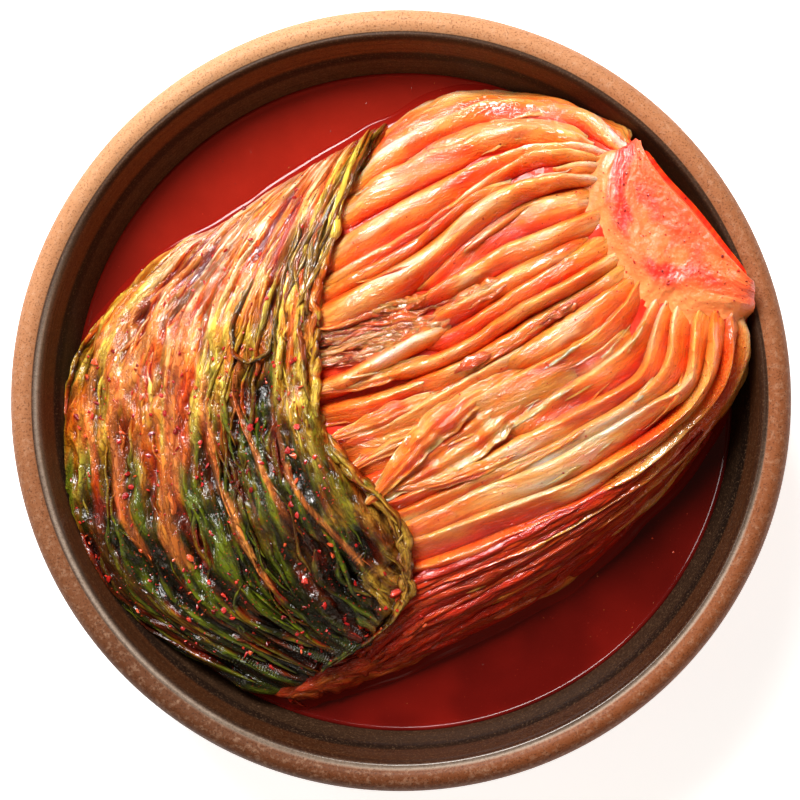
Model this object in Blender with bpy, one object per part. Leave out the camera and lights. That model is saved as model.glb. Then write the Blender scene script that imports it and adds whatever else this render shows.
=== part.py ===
"""Half a head of napa cabbage kimchi, cut side up, in the brine of its stoneware bowl.

Nodes: bowl, brine, cabbage (the halved head: root core, ribs and leaf ends, one piece) and
leaf_wrap (the green outer leaves folded over the leaf end of the head).
Run with: blender --background --python part.py
All sizes are millimetres until MM turns them into metres. +Z is up, the origin is the centre
of the bowl's foot, +X points to the root end's side and +Y to the side the wrap comes over.
"""

import math

import bmesh
import bpy
import numpy as np

MM = 0.001

# Bowl, as (radius, height) along its section
FOOT_INNER_R = 74.0
FOOT_OUTER_R = 83.0
FOOT_RECESS = 3.0
RIM_R = 140.0
RIM_Z = 80.0
FLOOR_Z = 12.0
FLOOR_R = 86.0
BRINE_Z = 50.0
BOWL_SEGMENTS = 48
OUTSIDE = (
    (0.0, FOOT_RECESS),
    (FOOT_INNER_R - 2.0, FOOT_RECESS),
    (FOOT_INNER_R, 0.0),
    (FOOT_OUTER_R, 0.0),
    (FOOT_OUTER_R + 2.0, 4.5),
    (104.0, 11.0),
    (115.0, 19.0),
    (124.0, 30.0),
    (132.0, 48.0),
    (137.5, 66.0),
    (RIM_R, 73.0),
)
RIM = (
    (139.2, 77.0),
    (136.6, RIM_Z),
    (134.0, RIM_Z),
    (132.2, 78.4),
    (130.6, 79.0),
    (129.3, 77.4),
)
WALL = (
    (128.0, 73.0),
    (126.4, 66.0),
    (125.0, 63.5),
    (123.4, 58.0),
    (120.6, BRINE_Z),
    (117.6, 40.0),
    (113.0, 29.0),
    (106.0, 20.0),
    (97.0, 14.0),
    (FLOOR_R, FLOOR_Z),
)

# Head of cabbage. Each leaf line runs from the root cut, over the edge of the core, to the
# leaf end; the lines lie side by side from the head's north edge to its south edge.
LEAF_LINES = (
    ((86, 90), (79, 100), (51, 113), (17, 112.5), (-18.6, 93.8), (-57, 69.6)),
    ((95, 78), (72, 66), (42, 56), (7, 40), (-43, 29), (-110, 24)),
    ((106, 66), (85, 40), (57, 18), (14, -6), (-43, -17), (-120, -18)),
    ((116, 53), (102, 32), (95, 0), (50, -36), (-26, -64), (-110, -66)),
    ((126, 40), (129, 28), (116, -6), (68, -58), (11, -92), (-40, -110)),
)
CORE_EDGE = 0.2
WRAP_EDGE = 0.72
HEAD_BOTTOM_Z = FLOOR_Z + 0.4
CREST_S = (0.0, 0.2, 0.4, 0.6, 0.8, 1.0)
HIP_Z = (78.0, 48.0, 44.0, 44.0, 48.0, 57.0)
CREST_Z = (92.0, 90.0, 90.0, 88.0, 85.0, 74.0)
NORTH_FULLNESS = (16.0, 12.0, 6.0, 5.0, 4.0, 3.0)
SOUTH_FULLNESS = (16.0, 12.0, 3.6, 2.4, 2.4, 2.4)
LEAF_END_FULLNESS = 5.0
RIB_COUNT = 12
RIB_HEIGHT = 3.2
RIB_ROUNDNESS = 0.7
RIB_DRIFT = 0.018
RIB_DRIFT_ACROSS = 9.0
RIB_DRIFT_ALONG = 3.0
RIB_RUN_IN = 0.06
RIB_STOP = WRAP_EDGE - 0.02
RIB_SIDE_FADE = 8.0
RIB_ROWS_FROM = 0.24
RIB_ROWS_TO = 0.66
CORE_ROWS = 4
RIB_ROWS = 10
WRAPPED_ROWS = 6
COLUMNS_PER_RIB = 4
CORE_DISH = 1.6
CORE_SIDE_FADE = 4.0
NORMAL_STEP = 0.004
SKIRT_RINGS = 3
SKIRT_CURVE = 1.5
FOOT_SHRINK = 0.60
HEAD_CENTRE = (2.0, -4.0)

# Wrap of outer leaves
WRAP_UNDER = 1.6
WRAP_ROWS = 16
WRAP_BUNCHING = 0.08
WRAP_OVER = 5.6
WRAP_LEAD = 0.08
WRAP_SIDE_END = 0.98
PLEAT_COUNT = 8
PLEAT_HEIGHT = 1.7
PLEAT_FADE = 9.0
WRAP_END_NEAR = 0.83
WRAP_END_FAR = 0.975

# Clearances
BRINE_GAP = 0.3
WALL_GAP = 2.6
RIM_SLOPE = 0.3
BRINE_CUT_GROWTH = 1.2
CUT_OVERSHOOT = 12.0

SHARP_ANGLE = 40.0
COLOURS = {
    "bowl": ((0.30, 0.16, 0.09), 0.45),
    "brine": ((0.30, 0.02, 0.01), 0.08),
    "cabbage": ((0.86, 0.36, 0.15), 0.28),
    "leaf_wrap": ((0.12, 0.15, 0.03), 0.30),
}


def material(name):
    """A Principled material in the node's colour and roughness."""
    colour, roughness = COLOURS[name]
    made = bpy.data.materials.new(name)
    made.use_nodes = True
    shader = made.node_tree.nodes["Principled BSDF"]
    shader.inputs["Base Color"].default_value = (*colour, 1.0)
    shader.inputs["Roughness"].default_value = roughness
    shader.inputs["Metallic"].default_value = 0.0
    made.diffuse_color = (*colour, 1.0)
    return made


def add_object(name, points, faces):
    """Links a mesh object whose points are given in millimetres."""
    mesh = bpy.data.meshes.new(name)
    mesh.from_pydata([tuple(p * MM for p in point) for point in points], [], faces)
    work = bmesh.new()
    work.from_mesh(mesh)
    bmesh.ops.recalc_face_normals(work, faces=work.faces)
    work.to_mesh(mesh)
    work.free()
    mesh.shade_smooth()
    mesh.set_sharp_from_angle(angle=math.radians(SHARP_ANGLE))
    made = bpy.data.objects.new(name, mesh)
    bpy.context.scene.collection.objects.link(made)
    if name in COLOURS:
        mesh.materials.append(material(name))
    return made


def turned(name, section):
    """A solid of revolution about Z; the section runs from axis to axis as (radius, height)."""
    points = []
    rings = []
    for radius, height in section:
        if radius < 1e-6:
            rings.append([len(points)])
            points.append((0.0, 0.0, height))
            continue
        rings.append(range(len(points), len(points) + BOWL_SEGMENTS))
        for k in range(BOWL_SEGMENTS):
            angle = 2 * math.pi * k / BOWL_SEGMENTS
            points.append((radius * math.cos(angle), radius * math.sin(angle), height))
    faces = []
    for lower, upper in zip(rings, rings[1:]):
        for k in range(BOWL_SEGMENTS):
            after = (k + 1) % BOWL_SEGMENTS
            ring = [lower[k % len(lower)], lower[after % len(lower)]]
            ring += [upper[after % len(upper)], upper[k % len(upper)]]
            faces.append(list(dict.fromkeys(ring)))
    return add_object(name, points, faces)


def wall_radius(z):
    """Inner radius of the bowl at a height, carried on above the rim at an even slope."""
    heights = [point[1] for point in reversed(WALL)]
    radii = [point[0] for point in reversed(WALL)]
    return np.interp(z, heights, radii) + RIM_SLOPE * np.maximum(0.0, z - heights[-1])


def inside_bowl(points, gap):
    """The points, moved in towards the bowl's axis where they would reach the wall."""
    reach = np.hypot(points[..., 0], points[..., 1])
    limit = wall_radius(points[..., 2]) - gap
    scale = np.minimum(1.0, limit / np.maximum(reach, 1e-9))
    moved = points.copy()
    moved[..., 0] *= scale
    moved[..., 1] *= scale
    return moved


def through(values, u):
    """Catmull-Rom curve through evenly spaced values, at u from 0 to 1."""
    values = np.asarray(values, float)
    spans = len(values) - 1
    place = np.clip(np.asarray(u, float), 0, 1) * spans
    k = np.minimum(place.astype(int), spans - 1)
    f = place - k
    ends = [2 * values[0] - values[1]], [2 * values[-1] - values[-2]]
    padded = np.concatenate([ends[0], values, ends[1]])
    f = f.reshape(f.shape + (1,) * (values.ndim - 1))
    a, b, c, d = padded[k], padded[k + 1], padded[k + 2], padded[k + 3]
    curve = 2 * b + (c - a) * f + (2 * a - 5 * b + 4 * c - d) * f**2
    return 0.5 * (curve + (3 * b - a - 3 * c + d) * f**3)


def plan(s, t):
    """Place on the head in plan: s from root cut to leaf end, t from north to south edge."""
    lines = np.stack([through(line, s) for line in LEAF_LINES])
    places = np.empty(s.shape + (2,))
    for k in np.ndindex(s.shape):
        places[k] = through(lines[(slice(None), *k)], t[k])
    return places


def crown(s, t):
    """Height of the smooth head, without ribs; its edge all round lies at the hip's height."""
    side = 2 * t - 1
    north = np.interp(s, CREST_S, NORTH_FULLNESS)
    south = np.interp(s, CREST_S, SOUTH_FULLNESS)
    across = np.sqrt(1 - np.abs(side) ** np.where(side < 0, north, south))
    along = np.sqrt(1 - np.clip(2 * s - 1, 0, 1) ** LEAF_END_FULLNESS)
    hip = np.interp(s, CREST_S, HIP_Z)
    return hip + (np.interp(s, CREST_S, CREST_Z) - hip) * across * along


def head_surface(s, t, lift):
    """Points of the head's smooth skin, raised by lift along its normal, inside the bowl."""

    def skin(a, b):
        """The smooth skin at places held on the head."""
        a = np.clip(a, 0, 1)
        b = np.clip(b, 0, 1)
        return np.concatenate([plan(a, b), crown(a, b)[..., None]], axis=-1)

    along = skin(s + NORMAL_STEP, t) - skin(s - NORMAL_STEP, t)
    across = skin(s, t + NORMAL_STEP) - skin(s, t - NORMAL_STEP)
    normal = np.cross(along, across)
    normal /= np.linalg.norm(normal, axis=-1, keepdims=True)
    raised = skin(s, t) + np.asarray(lift)[..., None] * normal
    return inside_bowl(raised, WALL_GAP + wrap_room(s) - np.asarray(lift))


def wrap_room(s):
    """Thickness kept for the wrap over the head's skin, growing in ahead of the wrap's edge."""
    return (WRAP_OVER + PLEAT_HEIGHT) * np.clip((s - WRAP_EDGE) / WRAP_LEAD + 1, 0, 1)


def ribs(s, t):
    """Height of the leaf ribs on the cut face, none on the core or under the wrap."""
    drift = t + RIB_DRIFT * np.sin(RIB_DRIFT_ACROSS * t + RIB_DRIFT_ALONG * s)
    wave = np.abs(np.sin(math.pi * RIB_COUNT * drift)) ** RIB_ROUNDNESS
    start = np.clip((s - CORE_EDGE) / RIB_RUN_IN, 0, 1)
    end = np.clip((RIB_STOP - s) / RIB_RUN_IN, 0, 1)
    edge = np.clip(RIB_SIDE_FADE * np.minimum(t, 1 - t), 0, 1)
    return RIB_HEIGHT * wave * start * end * edge


def core_dish(s, t):
    """How far the core's cut face dips in its middle."""
    along = np.clip(1 - np.abs(s / CORE_EDGE - 0.5) * 2, 0, 1)
    return -CORE_DISH * along * np.clip(CORE_SIDE_FADE * np.minimum(t, 1 - t), 0, 1)


def grid_faces(rows, columns, first=0):
    """Quads of a rows by columns grid of points."""
    faces = []
    for r in range(rows - 1):
        for c in range(columns - 1):
            a = first + r * columns + c
            faces.append((a, a + 1, a + columns + 1, a + columns))
    return faces


def grid_border(rows, columns, first=0):
    """Indices round the border of a grid of points, in order."""
    top = [first + c for c in range(columns)]
    right = [first + r * columns + columns - 1 for r in range(1, rows)]
    bottom = [first + (rows - 1) * columns + c for c in range(columns - 2, -1, -1)]
    left = [first + r * columns for r in range(rows - 2, 0, -1)]
    return top + right + bottom + left


def spread(start, end, count):
    """Evenly spaced values, both ends included."""
    return np.linspace(start, end, count)


def head_grid():
    """The grid of places on the head: s along the leaves and t across them."""
    on_core = spread(0, CORE_EDGE, CORE_ROWS)
    on_ribs = spread(RIB_ROWS_FROM, RIB_ROWS_TO, RIB_ROWS)
    under_wrap = spread(WRAP_EDGE, 1, WRAPPED_ROWS)
    t_values = spread(0, 1, COLUMNS_PER_RIB * RIB_COUNT + 1)
    return np.meshgrid(np.concatenate([on_core, on_ribs, under_wrap]), t_values, indexing="ij")


def bridge(faces, upper, lower):
    """Triangles between two closed rings of as many points."""
    for i in range(len(upper)):
        j = (i + 1) % len(upper)
        faces.append((upper[i], upper[j], lower[j]))
        faces.append((upper[i], lower[j], lower[i]))


def add_skirt(points, faces, ring, gap):
    """Rings below a rim, drawn in down to the head's foot; gives the last ring."""
    rim = np.array([points[k] for k in ring])
    for level in spread(0, 1, SKIRT_RINGS + 1)[1:]:
        lower = rim.copy()
        lower[:, :2] -= HEAD_CENTRE
        lower[:, :2] *= 1 - (1 - FOOT_SHRINK) * level**SKIRT_CURVE
        lower[:, :2] += HEAD_CENTRE
        lower[:, 2] += (HEAD_BOTTOM_Z - rim[:, 2]) * level
        below = list(range(len(points), len(points) + len(lower)))
        points += [tuple(p) for p in inside_bowl(lower, gap)]
        bridge(faces, ring, below)
        ring = below
    return ring


def cabbage():
    """The halved head: flat core, ribs along the leaf lines, smooth where the wrap lies."""
    s, t = head_grid()
    skin = head_surface(s, t, ribs(s, t) + core_dish(s, t))
    points = [tuple(p) for p in skin.reshape(-1, 3)]
    faces = grid_faces(*s.shape)
    foot = add_skirt(points, faces, grid_border(*s.shape), WALL_GAP)
    faces.append(tuple(foot))
    return add_object("cabbage", points, faces)


def room_for_head():
    """Cutter that stands clear of the head and its wrap all round, up past the brine."""
    s, t = head_grid()
    border = grid_border(*s.shape)
    s, t = s.ravel()[border], t.ravel()[border]
    outline = plan(s, t)
    tangent = np.roll(outline, -1, axis=0) - np.roll(outline, 1, axis=0)
    outward = np.stack([-tangent[:, 1], tangent[:, 0]], axis=1)
    outward /= np.linalg.norm(outward, axis=1, keepdims=True)
    wrapped = (s > WRAP_EDGE - NORMAL_STEP) & (t < WRAP_SIDE_END)
    outline += outward * (WRAP_OVER * wrapped + BRINE_CUT_GROWTH)[:, None]
    rim = np.column_stack([outline, crown(s, t)])
    collar = inside_bowl(rim + (0, 0, CUT_OVERSHOOT), WALL_GAP - BRINE_CUT_GROWTH)
    rim = inside_bowl(rim, WALL_GAP - BRINE_CUT_GROWTH)
    count = len(rim)
    points = [tuple(p) for p in (*collar, *rim)]
    faces = []
    bridge(faces, list(range(count)), list(range(count, 2 * count)))
    foot = add_skirt(points, faces, list(range(count, 2 * count)), WALL_GAP - BRINE_CUT_GROWTH)
    points += [(*HEAD_CENTRE, RIM_Z + CUT_OVERSHOOT), (*HEAD_CENTRE, FLOOR_Z - CUT_OVERSHOOT)]
    for i in range(count):
        j = (i + 1) % count
        faces.append((i, j, len(points) - 2))
        faces.append((foot[i], foot[j], len(points) - 1))
    return add_object("brine_cutter", points, faces)


def pleats(s, t):
    """Height of the wrap's pleats, which run across the head and die out at its borders."""
    share = (s - WRAP_EDGE) / (1 - WRAP_EDGE)
    fade = np.sin(math.pi * share) * np.clip(PLEAT_FADE * t, 0, 1)
    return PLEAT_HEIGHT * fade * np.sin(2 * math.pi * PLEAT_COUNT * share)


def leaf_wrap():
    """The outer leaves as one thick pleated sheet lying over the leaf end of the head."""
    rows, columns = WRAP_ROWS, 4 * PLEAT_COUNT + 1
    v, s = np.meshgrid(spread(0, 1, rows), spread(WRAP_EDGE, 1, columns), indexing="ij")
    share = (s - WRAP_EDGE) / (1 - WRAP_EDGE)
    end = WRAP_END_NEAR + (WRAP_END_FAR - WRAP_END_NEAR) * share
    t = end * (v - WRAP_BUNCHING * np.sin(2 * math.pi * v))
    upper = head_surface(s, t, WRAP_OVER + pleats(s, t))
    lower = head_surface(s, t, np.full(s.shape, WRAP_UNDER))
    points = [tuple(p) for p in upper.reshape(-1, 3)]
    points += [tuple(p) for p in lower.reshape(-1, 3)]
    count = rows * columns
    faces = grid_faces(rows, columns)
    faces += [tuple(reversed(face)) for face in grid_faces(rows, columns, count)]
    bridge(faces, grid_border(rows, columns), grid_border(rows, columns, count))
    return add_object("leaf_wrap", points, faces)


def brine():
    """The liquid up to its level, less the room that the head takes."""
    bottom = FLOOR_Z + BRINE_GAP
    side = [(r - BRINE_GAP, max(z, bottom)) for r, z in reversed(WALL) if z <= BRINE_Z]
    liquid = turned("brine", ((0.0, bottom), *side, (0.0, BRINE_Z)))

    room = room_for_head()
    room.hide_render = True
    room.display_type = "WIRE"
    cut = liquid.modifiers.new("room for the head", "BOOLEAN")
    cut.operation = "DIFFERENCE"
    cut.object = room
    return liquid


def main():
    for stale in list(bpy.data.objects):
        bpy.data.objects.remove(stale)
    turned("bowl", (*OUTSIDE, *RIM, *WALL, (0.0, FLOOR_Z)))
    brine()
    cabbage()
    leaf_wrap()


main()
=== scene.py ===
"""Looks of the kimchi bowl: half a head of napa cabbage in red brine, dressed over its solids.

Lengths are metres, or millimetres where a name ends in _MM. Places on the head are given as
(s, t): s runs along the leaves from the root cut (0) to the leaf end (1), and t across them
from the head's north edge (0) to its south edge (1).
"""

import math

import bpy
import numpy as np
from mathutils import Matrix, Vector
from mathutils.bvhtree import BVHTree


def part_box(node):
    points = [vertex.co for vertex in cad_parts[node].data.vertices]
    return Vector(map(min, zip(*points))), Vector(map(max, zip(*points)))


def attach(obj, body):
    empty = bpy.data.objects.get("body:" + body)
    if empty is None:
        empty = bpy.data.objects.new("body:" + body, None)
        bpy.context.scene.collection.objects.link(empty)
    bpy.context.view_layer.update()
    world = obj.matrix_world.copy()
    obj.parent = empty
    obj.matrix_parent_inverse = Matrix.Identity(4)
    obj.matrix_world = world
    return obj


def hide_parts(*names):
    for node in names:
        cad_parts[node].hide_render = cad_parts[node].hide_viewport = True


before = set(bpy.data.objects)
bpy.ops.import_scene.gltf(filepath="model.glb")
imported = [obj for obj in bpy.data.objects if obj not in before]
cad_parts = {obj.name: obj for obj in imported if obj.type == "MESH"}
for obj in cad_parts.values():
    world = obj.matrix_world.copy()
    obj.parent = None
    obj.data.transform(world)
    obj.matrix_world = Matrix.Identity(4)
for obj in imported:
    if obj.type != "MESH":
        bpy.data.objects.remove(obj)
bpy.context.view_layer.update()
RNG = np.random.default_rng(41)

# ------------------------------------------------------------------ frame and sizes
MM = 0.001
RIM_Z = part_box("bowl")[1].z
BOWL_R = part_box("bowl")[1].x
BRINE_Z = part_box("brine")[1].z
FLOOR_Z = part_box("brine")[0].z
HEAD_TOP_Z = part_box("cabbage")[1].z

# The bowl's inside as (radius, height) in millimetres, from the bead down to the floor
WALL_MM = (
    (129.3, 77.4),
    (128.0, 73.0),
    (126.4, 66.0),
    (125.0, 63.5),
    (123.4, 58.0),
    (120.6, 50.0),
    (117.6, 40.0),
    (113.0, 29.0),
    (106.0, 20.0),
    (97.0, 14.0),
    (86.0, 12.0),
)

# The head's leaf lines in plan, in millimetres, as the solids have them
LEAF_LINES_MM = (
    ((86, 90), (79, 100), (51, 113), (17, 112.5), (-18.6, 93.8), (-57, 69.6)),
    ((95, 78), (72, 66), (42, 56), (7, 40), (-43, 29), (-110, 24)),
    ((106, 66), (85, 40), (57, 18), (14, -6), (-43, -17), (-120, -18)),
    ((116, 53), (102, 32), (95, 0), (50, -36), (-26, -64), (-110, -66)),
    ((126, 40), (129, 28), (116, -6), (68, -58), (11, -92), (-40, -110)),
)
SHAPE_S = (0.0, 0.2, 0.4, 0.6, 0.8, 1.0)
HIP_Z_MM = (78.0, 48.0, 44.0, 44.0, 48.0, 57.0)
CREST_Z_MM = (92.0, 90.0, 90.0, 88.0, 85.0, 74.0)
NORTH_FULLNESS = (16.0, 12.0, 6.0, 5.0, 4.0, 3.0)
SOUTH_FULLNESS = (16.0, 12.0, 3.6, 2.4, 2.4, 2.4)
WRAP_ROOM_MM = 7.3


# ------------------------------------------------------------------ numbers: noise and curves
def lattice(ix, iy, iz, seed):
    """A fixed pseudo-random value from 0 to 1 at each lattice point."""
    h = (ix * 374761393 + iy * 668265263 + iz * 1442695041 + seed * 974634777) & 0xFFFFFFFF
    h = ((h ^ (h >> 13)) * 1274126177) & 0xFFFFFFFF
    return ((h ^ (h >> 16)) & 0xFFFF) / 65535.0


def noise(x, y, z=0.0, seed=0):
    """Smooth noise from -1 to 1 with features one unit wide."""
    x, y, z = np.broadcast_arrays(np.asarray(x, float), y, z)
    cell = [np.floor(a).astype(np.int64) for a in (x, y, z)]
    f = [a - c for a, c in zip((x, y, z), cell)]
    f = [a * a * (3 - 2 * a) for a in f]
    total = 0.0
    for dx in (0, 1):
        for dy in (0, 1):
            for dz in (0, 1):
                weight = (f[0] if dx else 1 - f[0]) * (f[1] if dy else 1 - f[1])
                weight = weight * (f[2] if dz else 1 - f[2])
                total = total + weight * lattice(cell[0] + dx, cell[1] + dy, cell[2] + dz, seed)
    return 2 * total - 1


def fbm(x, y, z=0.0, seed=0, octaves=3):
    """Noise summed over octaves, from about -1 to 1."""
    total, gain, norm = 0.0, 1.0, 0.0
    for k in range(octaves):
        total = total + gain * noise(np.asarray(x) * 2**k, np.asarray(y) * 2**k, z * 2**k, seed + k)
        norm += gain
        gain *= 0.5
    return total / norm


def step(low, high, x):
    """Smooth step from 0 at low to 1 at high."""
    f = np.clip((np.asarray(x, float) - low) / (high - low), 0, 1)
    return f * f * (3 - 2 * f)


def curve(values, u):
    """Catmull-Rom curve through evenly spaced values, at u from 0 to 1."""
    values = np.asarray(values, float)
    spans = len(values) - 1
    place = np.clip(np.asarray(u, float), 0, 1) * spans
    k = np.minimum(place.astype(int), spans - 1)
    f = (place - k).reshape(place.shape + (1,) * (values.ndim - 1))
    padded = np.concatenate(
        [[2 * values[0] - values[1]], values, [2 * values[-1] - values[-2]]]
    )
    a, b, c, d = padded[k], padded[k + 1], padded[k + 2], padded[k + 3]
    bend = 2 * b + (c - a) * f + (2 * a - 5 * b + 4 * c - d) * f**2
    return 0.5 * (bend + (3 * b - a - 3 * c + d) * f**3)


def srgb(r, g, b):
    """Linear colour of an sRGB colour given from 0 to 255."""
    c = np.array([r, g, b], float) / 255.0
    return np.where(c <= 0.04045, c / 12.92, ((c + 0.055) / 1.055) ** 2.4)


def ramp(stops, x):
    """Colours at x from stops of (place, (r, g, b) in sRGB)."""
    places = [stop[0] for stop in stops]
    colours = np.array([srgb(*stop[1]) for stop in stops])
    return np.stack([np.interp(x, places, colours[:, k]) for k in range(3)], axis=-1)


def mix(a, b, share):
    """Blend of two colour arrays."""
    share = np.asarray(share, float)[..., None]
    return a * (1 - share) + b * share


# ------------------------------------------------------------------ the head's skin
def wall_radius_mm(z):
    """Inner radius of the bowl at a height, carried on evenly above the rim."""
    radii = [point[0] for point in reversed(WALL_MM)]
    heights = [point[1] for point in reversed(WALL_MM)]
    return np.interp(z, heights, radii) + 0.3 * np.maximum(0, z - heights[-1])


def inside_bowl(points, gap):
    """Points in millimetres, moved in where they would reach the bowl's wall."""
    reach = np.hypot(points[..., 0], points[..., 1])
    limit = wall_radius_mm(points[..., 2]) - gap
    points = points.copy()
    points[..., :2] *= np.minimum(1, limit / np.maximum(reach, 1e-6))[..., None]
    return points


def plan(s, t):
    lines = np.stack([curve(line, s) for line in LEAF_LINES_MM])
    flat = lines.reshape(len(lines), -1, 2)
    out = np.empty((flat.shape[1], 2))
    for k, (place, share) in enumerate(zip(flat.transpose(1, 0, 2), t.ravel())):
        out[k] = curve(place, share)
    return out.reshape(s.shape + (2,))


def crown(s, t):
    side = 2 * t - 1
    full = np.where(side < 0, np.interp(s, SHAPE_S, NORTH_FULLNESS), np.interp(s, SHAPE_S, SOUTH_FULLNESS))
    across = np.sqrt(np.maximum(0, 1 - np.abs(side) ** full))
    along = np.sqrt(np.maximum(0, 1 - np.clip(2 * s - 1, 0, 1) ** 5))
    hip = np.interp(s, SHAPE_S, HIP_Z_MM)
    return hip + (np.interp(s, SHAPE_S, CREST_Z_MM) - hip) * across * along


SKIN_N = 181


def bunched(u):
    """Evenly spaced values drawn towards both ends, where the skin turns down steeply."""
    return u - 0.08 * np.sin(2 * math.pi * u)


def make_skin():
    u = np.linspace(0, 1, SKIN_N)
    s, t = np.meshgrid(u, bunched(u), indexing="ij")
    points = np.concatenate([plan(s, t), crown(s, t)[..., None]], axis=-1)
    along = np.gradient(points, axis=0)
    across = np.gradient(points, axis=1)
    normals = np.cross(along, across)
    normals /= np.linalg.norm(normals, axis=-1, keepdims=True)
    return points, normals


SKIN, SKIN_NORMALS = make_skin()
T_TABLE = bunched(np.linspace(0, 1, SKIN_N))


def on_skin(s, t, lift=0.0):
    """Points in millimetres on the head's smooth skin, raised along its normal."""
    s, t = np.broadcast_arrays(np.asarray(s, float), np.asarray(t, float))
    a = np.clip(s, 0, 1) * (SKIN_N - 1)
    b = np.interp(np.clip(t, 0, 1), T_TABLE, np.arange(SKIN_N))
    i = np.minimum(a.astype(int), SKIN_N - 2)
    j = np.minimum(b.astype(int), SKIN_N - 2)
    f = (a - i)[..., None]
    g = (b - j)[..., None]
    out = []
    for table in (SKIN, SKIN_NORMALS):
        low = table[i, j] * (1 - f) + table[i + 1, j] * f
        high = table[i, j + 1] * (1 - f) + table[i + 1, j + 1] * f
        out.append(low * (1 - g) + high * g)
    normal = out[1] / np.linalg.norm(out[1], axis=-1, keepdims=True)
    return out[0] + np.asarray(lift)[..., None] * normal, normal


# ------------------------------------------------------------------ meshes
class Soup:
    """Collects grids of points into one mesh, with a colour and a texture place for each point."""

    def __init__(self):
        self.points, self.faces, self.colours, self.uvs, self.gloss = [], [], [], [], []
        self.count = 0

    def add(self, points, faces, colours, uvs, gloss=0.0):
        """Adds points in millimetres; faces index into them, as an array or a list of lists."""
        points = np.asarray(points, float).reshape(-1, 3)
        n = len(points)
        self.points.append(points * MM)
        self.faces += [[v + self.count for v in face] for face in faces]
        self.colours.append(np.broadcast_to(np.asarray(colours).reshape(-1, 3), (n, 3)))
        self.uvs.append(np.asarray(uvs, float).reshape(-1, 2))
        self.gloss.append(np.broadcast_to(np.asarray(gloss, float).reshape(-1), (n,)))
        self.count += n

    def build(self, name, material, replaces=(), smooth=True):
        mesh = bpy.data.meshes.new(name)
        points = np.concatenate(self.points)
        mesh.from_pydata(points, [], self.faces)
        tint = mesh.color_attributes.new("tint", "FLOAT_COLOR", "POINT")
        rgba = np.concatenate([np.concatenate(self.colours), np.ones((self.count, 1))], axis=1)
        tint.data.foreach_set("color", np.clip(rgba, 0, 1).ravel())
        gloss = mesh.attributes.new("paste", "FLOAT", "POINT")
        gloss.data.foreach_set("value", np.concatenate(self.gloss))
        loops = np.empty(len(mesh.loops), int)
        mesh.loops.foreach_get("vertex_index", loops)
        layer = mesh.uv_layers.new(name="along")
        layer.data.foreach_set("uv", np.concatenate(self.uvs)[loops].ravel())
        if smooth:
            mesh.shade_smooth()
        mesh.materials.append(material)
        mesh.validate()
        made = bpy.data.objects.new(name, mesh)
        bpy.context.scene.collection.objects.link(made)
        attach(made, "root")
        if replaces:
            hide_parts(*replaces)
        return made


def grid_faces(rows, columns, wrap=False):
    """Quads of a grid; with wrap, each row closes on itself."""
    last = columns if wrap else columns - 1
    a = np.arange(rows - 1)[:, None] * columns
    c = np.arange(last)[None, :]
    d = (c + 1) % columns
    quads = np.stack([a + c, a + d, a + columns + d, a + columns + c], axis=-1)
    return quads.reshape(-1, 4).tolist()


# ------------------------------------------------------------------ the head's sides
HEAD_CENTRE_MM = np.array((2.0, -4.0))
HEAD_BOTTOM_MM = 12.4
EDGE_MM = 200.0


def on_head(s, t, lift=0.0, gap=0.6):
    """As on_skin, but places past the border run down the head's side, kept inside the bowl."""
    s, t, lift = np.broadcast_arrays(np.asarray(s, float), np.asarray(t, float), lift)
    past = np.maximum.reduce([-t, t - 1, s - 1, -s]) * EDGE_MM
    past = np.maximum(past, 0)[..., None]
    base, normal = on_skin(s, t)
    outward = base[..., :2] - HEAD_CENTRE_MM
    level = np.clip((past - 10) / (base[..., 2:] - 10 - HEAD_BOTTOM_MM), 0, 1)
    flat = outward / np.linalg.norm(outward, axis=-1, keepdims=True)
    side = np.concatenate([flat, np.full(flat.shape[:-1] + (1,), 0.15)], axis=-1)
    share = np.clip(past / 3, 0, 1)
    normal = normal * (1 - share) + side * share
    normal /= np.linalg.norm(normal, axis=-1, keepdims=True)
    points = base.copy()
    points[..., :2] = HEAD_CENTRE_MM + outward * (1 - 0.4 * level**1.5)
    points[..., 2:] -= past
    return inside_bowl(points + lift[..., None] * normal, gap), normal


def smooth_line(x, xs, ys, reach=5):
    """Linear interpolation rounded off at its corners."""
    y = np.interp(x, xs, ys)
    padded = np.concatenate([2 * y[0] - y[reach:0:-1], y, 2 * y[-1] - y[-2 : -reach - 2 : -1]])
    kernel = np.hanning(2 * reach + 3)[1:-1]
    return np.convolve(padded, kernel / kernel.sum(), "valid")


def tube(soup, top, under, tint, uvs, gloss):
    """A closed strip: rows of top points with rows of points beneath, capped at both ends."""
    rows, columns = top.shape[:2]
    beneath = under.shape[1]
    ring = np.concatenate([top, under], axis=1)
    width = columns + beneath
    pick = np.clip(np.round(np.linspace(columns - 1, 0, beneath)).astype(int), 0, columns - 1)
    # The points beneath take the top's colour at 0.6: painted shade on the underside
    tint = np.concatenate([tint, tint[:, pick] * 0.6], axis=1)
    uvs = np.concatenate([uvs, uvs[:, pick]], axis=1)
    gloss = np.concatenate([gloss, gloss[:, pick]], axis=1)
    faces = grid_faces(rows, width, wrap=True)
    faces.append(list(range(width))[::-1])
    faces.append(list(range((rows - 1) * width, rows * width)))
    soup.add(ring, faces, tint, uvs, gloss)


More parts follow.
